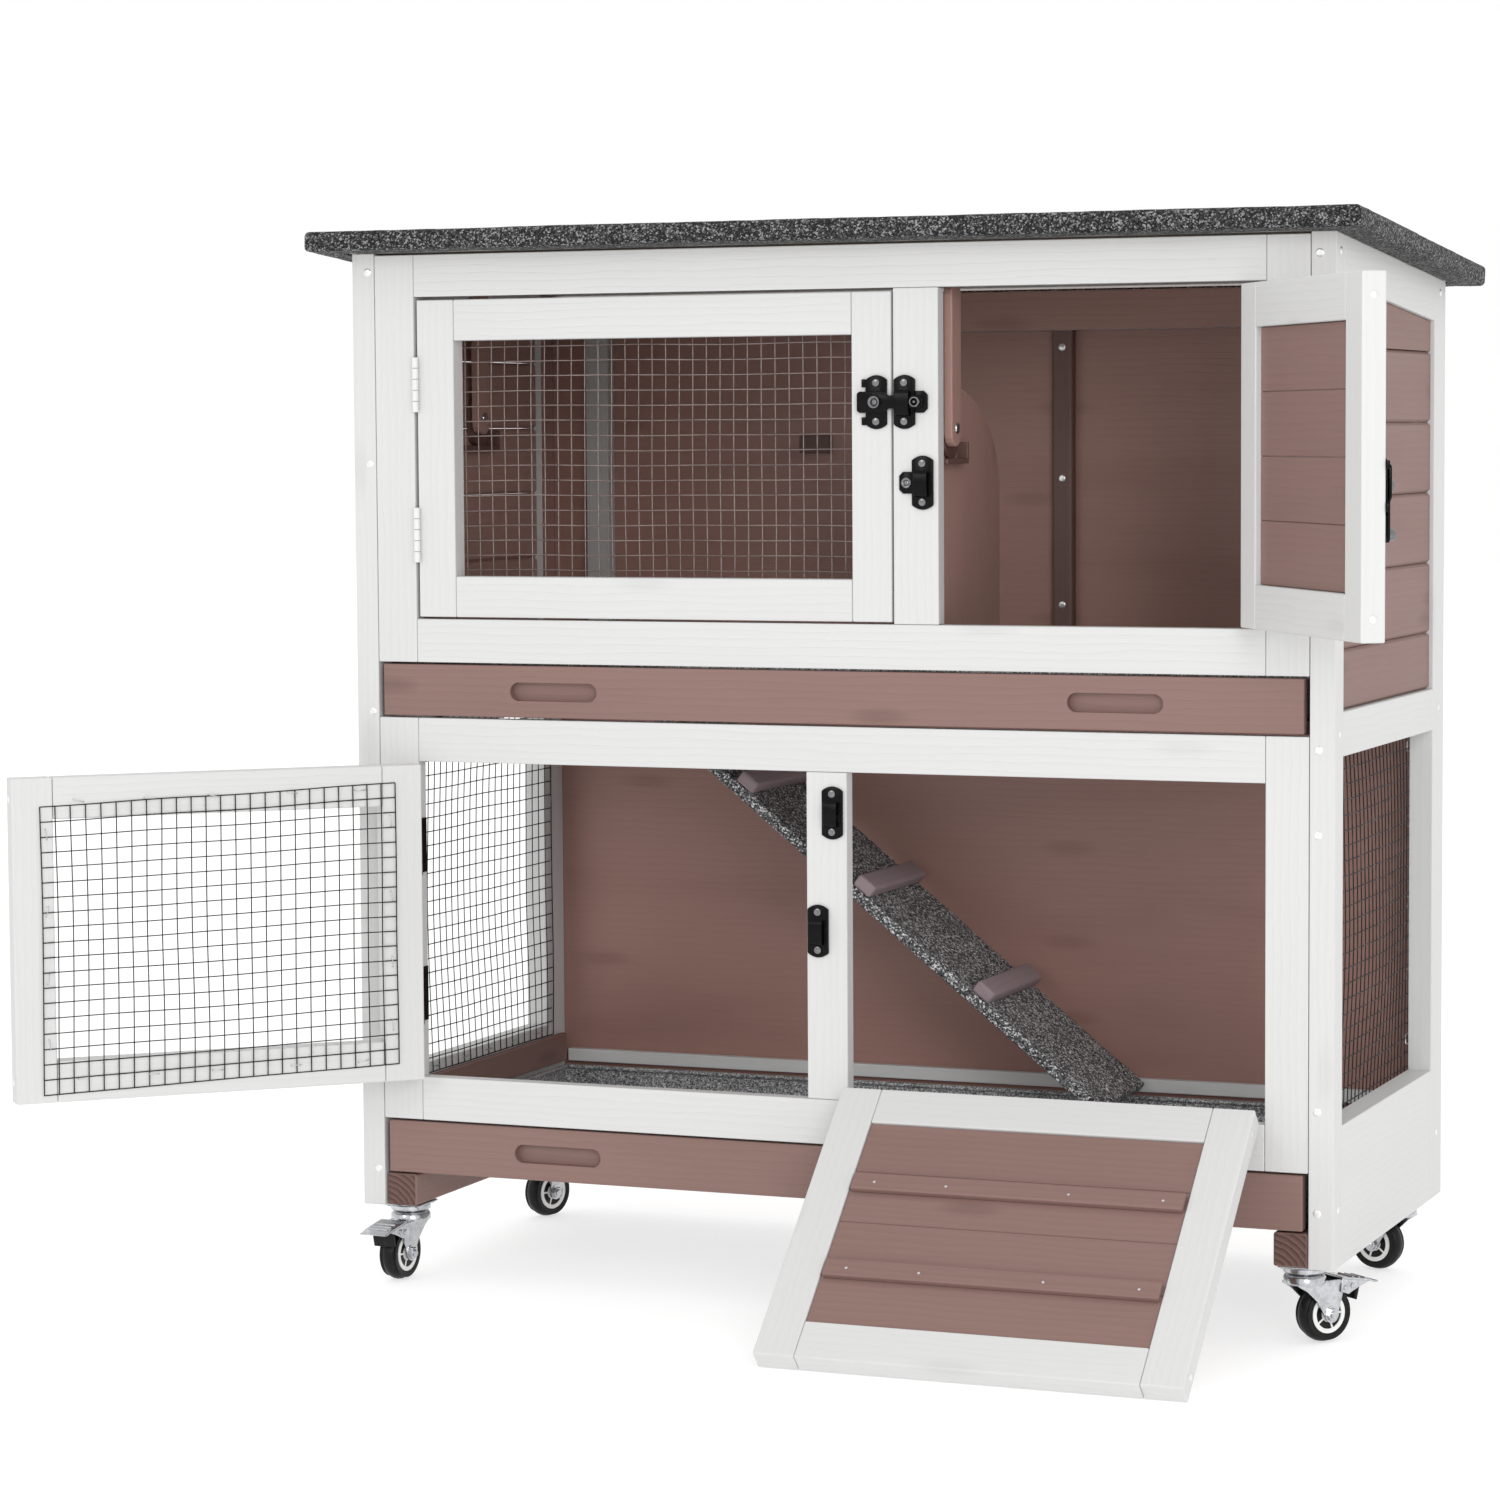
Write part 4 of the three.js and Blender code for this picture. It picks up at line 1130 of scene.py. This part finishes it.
for name in ("upper_left", "upper_right", "lower_left", "ramp"):
    door = f"{name}_door"
    place = DOORS[door][0]
    joint = joints[f"{name}_latch_turn"]
    pivot = place.inverted() @ Vector(joint["pos_m"])
    face = PIN_OUT
    plate, studs = Joinery(), Joinery()
    at = Matrix.Translation((pivot.x, face - 0.0003, pivot.z))
    plate.add(prism(shield(PLATE_W, PLATE_H, CROWN), Y, -PLATE_T, 0, 0.0007, 2), X, at)
    for z in (-SCREW_OFF, SCREW_OFF):
        screw_head(studs, at @ Vector((0, -PLATE_T, z)), (0, -1, 0), 0.0037, 0.0014)
        lug = slab((-0.0135, -0.0022, z * 0.98 - 0.0035), (-0.0095, 0, z * 0.98 + 0.0035), 0.0005)
        plate.add(lug, X, at)
    hidden = f"{name}_latch_plate"
    plate.fit(f"{name}_latch_base", door, "black_hardware", black_metal, place, hidden, 35)
    studs.fit(f"{name}_latch_base_screws", door, "black_hardware", black_chrome, place, smooth=35)

    low, high = span(f"{name}_latch_keeper")
    keeper, studs = Joinery(), Joinery()
    middle = (low.z + high.z) / 2
    tab = {"upper_left": 1, "upper_right": -1}.get(name, 0)
    centre = low.x + PLATE_W / 2 if tab >= 0 else high.x - PLATE_W / 2
    at = Matrix.Translation((centre, -0.0003, middle))
    keeper.add(prism(shield(PLATE_W, PLATE_H, CROWN), Y, -PLATE_T, 0, 0.0007, 2), X, at)
    if tab:
        ear = [(tab * 0.008, -0.0095), (tab * 0.018, -0.0095), (tab * 0.0215, -0.006)]
        ear += [(tab * 0.0215, 0.006), (tab * 0.018, 0.0095), (tab * 0.008, 0.0095)]
        keeper.add(prism(ear if tab > 0 else ear[::-1], Y, -PLATE_T - 0.0002, -0.0001, 0.0006, 2), X, at)
    if tab < 0:
        rivet(studs, at @ Vector((tab * 0.0145, -PLATE_T, 0)), 0.0047, 0.0020)
    keeper.add(strap(-0.0125, 0.0105, 0.0125, 0.0072, 0.0013), X, at @ Matrix.Translation((0, -PLATE_T, 0)))
    rim = slab((0.0078, -0.0030, -0.0195), (0.0096, -PLATE_T, 0.0195), 0.0004)
    keeper.add(rim, X, at)
    for z in (-SCREW_OFF, SCREW_OFF):
        screw_head(studs, at @ Vector((0, -PLATE_T, z)), (0, -1, 0), 0.0037, 0.0014)
    hidden = f"{name}_latch_keeper"
    keeper.fit(f"{name}_latch_catch", "frame", "black_hardware", black_metal, AT_HOME, hidden, 35)
    studs.fit(f"{name}_latch_catch_screws", "frame", "black_hardware", black_chrome, AT_HOME, smooth=35)

    # The arm hangs down when its door is open, and lies across when the door is latched.
    lying_arm = name == "upper_left"
    swing = Matrix.Rotation(math.pi / 2 if lying_arm else math.pi, 4, "Y")
    stand = place @ Matrix.Translation((pivot.x, face, pivot.z)) @ swing
    arm, studs = Joinery(), Joinery()
    front = -PLATE_T - 0.0018
    grip = [(-0.0093, -0.0145), (-0.0075, -0.0168), (0.0075, -0.0168), (0.0093, -0.0145)]
    grip += [(0.0093, 0.0085), (0.0058, 0.0125), (0.0058, ARM_REACH + 0.0035), (0.0035, ARM_REACH + 0.006)]
    grip += [(-0.0035, ARM_REACH + 0.006), (-0.0058, ARM_REACH + 0.0035)]
    grip += [(-0.0058, 0.0125), (-0.0093, 0.0085)]
    arm.add(prism(grip, Y, front - 0.0022, front, 0.0006, 2))
    arm.add(lathe([(0.0062, 0), (0.0062, 0.0012)], (0, front - 0.0001, 0), (0, 1, 0)))
    rivet(studs, (0, front - 0.002, 0), 0.0058, 0.0035)
    rivet(studs, (0, front - 0.002, ARM_REACH), 0.0047, 0.0055)
    hidden = f"{name}_latch_arm"
    arm.fit(f"{name}_latch_tongue", f"{name}_latch", "black_hardware", black_metal, stand, hidden, 35)
    studs.fit(f"{name}_latch_rivets", f"{name}_latch", "black_hardware", black_chrome, stand, smooth=35)

# ---------- casters ----------
# Four 50 mm plate casters: a zinc-plated pressed fork under a ball race, a black tyre on a white
# hub, and a bolt through the cheeks. The front pair have a brake pedal riveted between the cheeks.
WHEEL_R, WHEEL_W, TRAIL = 0.025, 0.018, 0.020
CHEEK_T, CHEEK_OUT = 0.0020, 0.0122
RACE_TOP, RACE_FOOT = 0.0670, 0.0577


def tyre_rubber():
    coat = Finish("tyre_rubber")
    dust = coat.noise(110.0, 5.0, 0.65)
    colour = coat.blend(coat.ramp(dust, 0.45, 0.8), (0.004, 0.004, 0.004), (0.018, 0.018, 0.018))
    sockets = {"Base Color": colour, "Roughness": dust * 0.3 + 0.25, "Specular IOR Level": 0.22}
    return coat.close(sockets, dust, 0.0002)


def moulded_hub():
    coat = Finish("moulded_hub")
    bloom = coat.noise(160.0)
    colour = coat.blend(bloom, (0.84, 0.84, 0.83), (0.72, 0.72, 0.71))
    return coat.close({"Base Color": colour, "Roughness": bloom * 0.15 + 0.28}, bloom, 0.0001)


rubber, hub_plastic = tyre_rubber(), moulded_hub()

for name in ("front_left", "front_right", "rear_left", "rear_right"):
    swivel = Vector(joints[f"{name}_swivel"]["pos_m"])
    axle = Vector(joints[f"{name}_roll"]["pos_m"])
    heading = math.atan2(axle.y - swivel.y, axle.x - swivel.x)
    stand = Matrix.Translation((swivel.x, swivel.y, HOME.z)) @ Matrix.Rotation(heading, 4, "Z")
    post = Matrix.Translation((swivel.x, swivel.y, HOME.z))

    low, high = span(f"{name}_caster_plate")
    half = (high.x - low.x) / 2
    plate = Joinery().add(slab((-half, -half, RACE_TOP + 0.0004), (half, half, high.z), 0.0012, 2))
    cup = [(0.0172, RACE_TOP + 0.001), (0.0185, RACE_TOP - 0.0004), (0.0187, RACE_TOP - 0.0036)]
    cup += [(0.0178, RACE_TOP - 0.0046), (0.0166, RACE_TOP - 0.0050)]
    plate.add(lathe(cup, (0, 0, 0), (0, 0, 1), 40))
    for x in (-1, 1):
        for y in (-1, 1):
            corner = (x * (half - 0.0042), y * (half - 0.0042), RACE_TOP + 0.0004)
            screw_head(plate, corner, (0, 0, -1), 0.0028)
    hidden = f"{name}_caster_plate"
    plate.fit(f"{name}_plate_and_race", "frame", "zinc", zinc, post, hidden, 35)

    fork = Joinery()
    ring = [(0.0120, RACE_FOOT - 0.0055), (0.0178, RACE_FOOT - 0.0050), (0.0187, RACE_FOOT - 0.0036)]
    ring += [(0.0184, RACE_FOOT + 0.0006), (0.0170, RACE_FOOT + 0.0026), (0.0140, RACE_FOOT + 0.0040)]
    fork.add(lathe(ring, (0, 0, 0), (0, 0, 1), 40))
    braked = name.startswith("front")
    nose = [(0.0335, 0.0500), (0.0315, 0.0400)] if braked else [(0.0250, 0.0500), (0.0255, 0.0400)]
    cheek = [(-0.0150, 0.0525), (-0.0150, 0.0545), (nose[0][0], 0.0545), *nose]
    for k in range(9):
        turn = math.radians(-20 - 140 * k / 8)
        cheek.append((TRAIL + 0.0068 * math.cos(turn), WHEEL_R + 0.0068 * math.sin(turn)))
    cheek += [(0.0060, 0.0360), (-0.0060, 0.0470)]
    for way in (1, -1):
        a, b = sorted((way * CHEEK_OUT, way * (CHEEK_OUT - CHEEK_T)))
        fork.add(prism(cheek, Y, a, b, 0.0005, 2))
    fork.add(slab((-0.0150, -CHEEK_OUT, 0.0525), (0.0180, CHEEK_OUT, 0.0545), 0.0008, 2))
    for way in (1, -1):
        out = way * CHEEK_OUT
        nut = [(0.0058, 0), (0.0058, 0.0030), (0.0050, 0.0036)]
        bolt_end = [(0.0034, 0), (0.0034, 0.0048), (0.0028, 0.0054)]
        washer = [(0.0072, -0.0002), (0.0072, 0.0006)]
        for profile, sides in ((nut, 6), (bolt_end, 16), (washer, 24)):
            fork.add(lathe(profile, (TRAIL, out, WHEEL_R), (0, way, 0), sides))
    fork.add(lathe([(0.0035, -CHEEK_OUT), (0.0035, CHEEK_OUT)], (TRAIL, 0, WHEEL_R), (0, 1, 0), 16))
    hidden = f"{name}_caster_fork"
    fork.fit(f"{name}_pressed_fork", f"{name}_caster", "zinc", zinc, stand, hidden, 35)

    hub_at = stand @ Matrix.Translation((TRAIL, 0, WHEEL_R))
    half = WHEEL_W / 2
    crown = [(0.0168, -half + 0.0014), (0.0200, -half + 0.0002), (0.0228, -half + 0.0004)]
    for k in range(7):
        turn = math.radians(-75 + 150 * k / 6)
        crown.append((WHEEL_R - 0.0042 + 0.0042 * math.cos(turn), (half - 0.0026) * math.sin(turn)))
    crown += [(0.0228, half - 0.0004), (0.0200, half - 0.0002), (0.0168, half - 0.0014)]
    band = Joinery().add(lathe(crown, (0, 0, 0), (0, 1, 0), 56))
    hidden = f"{name}_caster_wheel"
    band.fit(f"{name}_tyre", f"{name}_wheel", "tyre", rubber, hub_at, hidden, 30)
    disc = Joinery()
    web = [(0.0045, -half + 0.0008), (0.0072, -half + 0.0008), (0.0074, -half + 0.0036)]
    web += [(0.0128, -half + 0.0036), (0.0132, -half + 0.0006), (0.0170, -half + 0.0006)]
    web += [(r, -h) for r, h in reversed(web)]
    disc.add(lathe(web, (0, 0, 0), (0, 1, 0), 48))
    for k in range(5):
        spoke = slab((0.0070, -half + 0.0010, -0.0009), (0.0135, half - 0.0010, 0.0009), 0.0003, 1)
        disc.add(spoke, X, Matrix.Rotation(math.tau * k / 5, 4, "Y"))
    disc.fit(f"{name}_hub", f"{name}_wheel", "hub", hub_plastic, hub_at, smooth=35)
    if not braked:
        continue
    # The pedal is a ribbed plate pressed from the same zinc, with side flanges and a brake shoe.
    at = Vector(joints[f"{name}_brake"]["pos_m"])
    reach = (at - swivel).to_2d().length
    tilt = stand @ Matrix.Translation((reach, 0, at.z - HOME.z)) @ Matrix.Rotation(math.radians(9), 4, "Y")
    pedal = Joinery()
    tread = [(-0.0060, 0.0070), (0.0230, 0.0070), (0.0290, 0.0060), (0.0330, 0.0068)]
    tread += [(0.0335, 0.0080), (0.0290, 0.0076), (0.0230, 0.0088), (-0.0060, 0.0088)]
    pedal.add(prism(tread, Y, -0.0138, 0.0138, 0.0004, 1))
    for k in range(3):
        rib = lathe([(0.0011, -0.0100), (0.0011, 0.0100)], (0.008 + 0.007 * k, 0, 0.0087), (0, 1, 0), 10)
        pedal.add(rib)
    for way in (1, -1):
        a, b = sorted((way * 0.0138, way * 0.0126))
        flange = [(-0.0055, 0.0072), (-0.0055, -0.0040), (0.0030, -0.0055)]
        flange += [(0.0125, 0.0010), (0.0240, 0.0072)]
        pedal.add(prism(flange[::-1], Y, a, b, 0.0003, 1))
        for x, z in ((-0.0010, -0.0002), (0.0062, 0.0022)):
            pin = [(0.0026, 0), (0.0024, 0.0010), (0.0012, 0.0015)]
            pedal.add(lathe(pin, (x, way * 0.0137, z), (0, way, 0), 14))
    shoe = [(0.0120, 0.0070), (0.0120, -0.0095), (0.0150, -0.0105), (0.0165, 0.0070)]
    pad = Joinery().add(prism(shoe, Y, -0.0110, 0.0110, 0.0006, 1))
    pad.fit(f"{name}_brake_shoe", f"{name}_pedal", "tyre", rubber, tilt)
    hidden = f"{name}_brake_pedal"
    pedal.fit(f"{name}_pedal_pressing", f"{name}_pedal", "zinc", zinc, tilt, hidden, 35)

# ---------- screws and nails ----------
# Zinc cross-head screws hold the side frames to the front frames, the doors' stiles to their rails
# and the back batten to its wall. They are driven flush, so that only their heads show.
heads = Joinery()
for x, levels in (
    (0.0155, (0.104, 0.190, 0.528, 0.755, 0.929)),
    (WIDTH - 0.0145, (0.118, 0.205, 0.440, 0.512, 0.928)),
):
    for z in levels:
        screw_head(heads, (x, 0.0002, z), (0, -1, 0), 0.0037, 0.0009)
side_screws = [(0.014, 0.930), (0.379, 0.905), (0.379, 0.525), (0.014, 0.525), (0.379, 0.13), (0.014, 0.12)]
for face, way in ((0.0, -1), (WIDTH, 1)):
    for y, z in side_screws:
        screw_head(heads, (face - way * 0.0001, y, z), (way, 0, 0), 0.0033, 0.0009)
heads.fit("front_screws", "frame", "screw", screw_finish, AT_HOME, smooth=40)
heads = Joinery()
for z in (0.860, 0.736, 0.616):
    screw_head(heads, (0.5585, span("back_batten")[0].y - 0.0002, z), (0, -1, 0), 0.0036, 0.0009)
heads.fit("batten_screws", "frame", "screw", screw_finish, AT_HOME, smooth=40)
for door, (place, (u0, u1, z0, z1)) in DOORS.items():
    heads = Joinery()
    for edge, way in ((u0, -1), (u1, 1)):
        for z in (z0 + STILE / 2, z1 - STILE / 2):
            screw_head(heads, (edge - way * 0.0001, PIN_OUT + DOOR_T / 2, z), (way, 0, 0), 0.0034, 0.0009)
    heads.fit(f"{door}_screws", door, "screw", screw_finish, place, smooth=40)
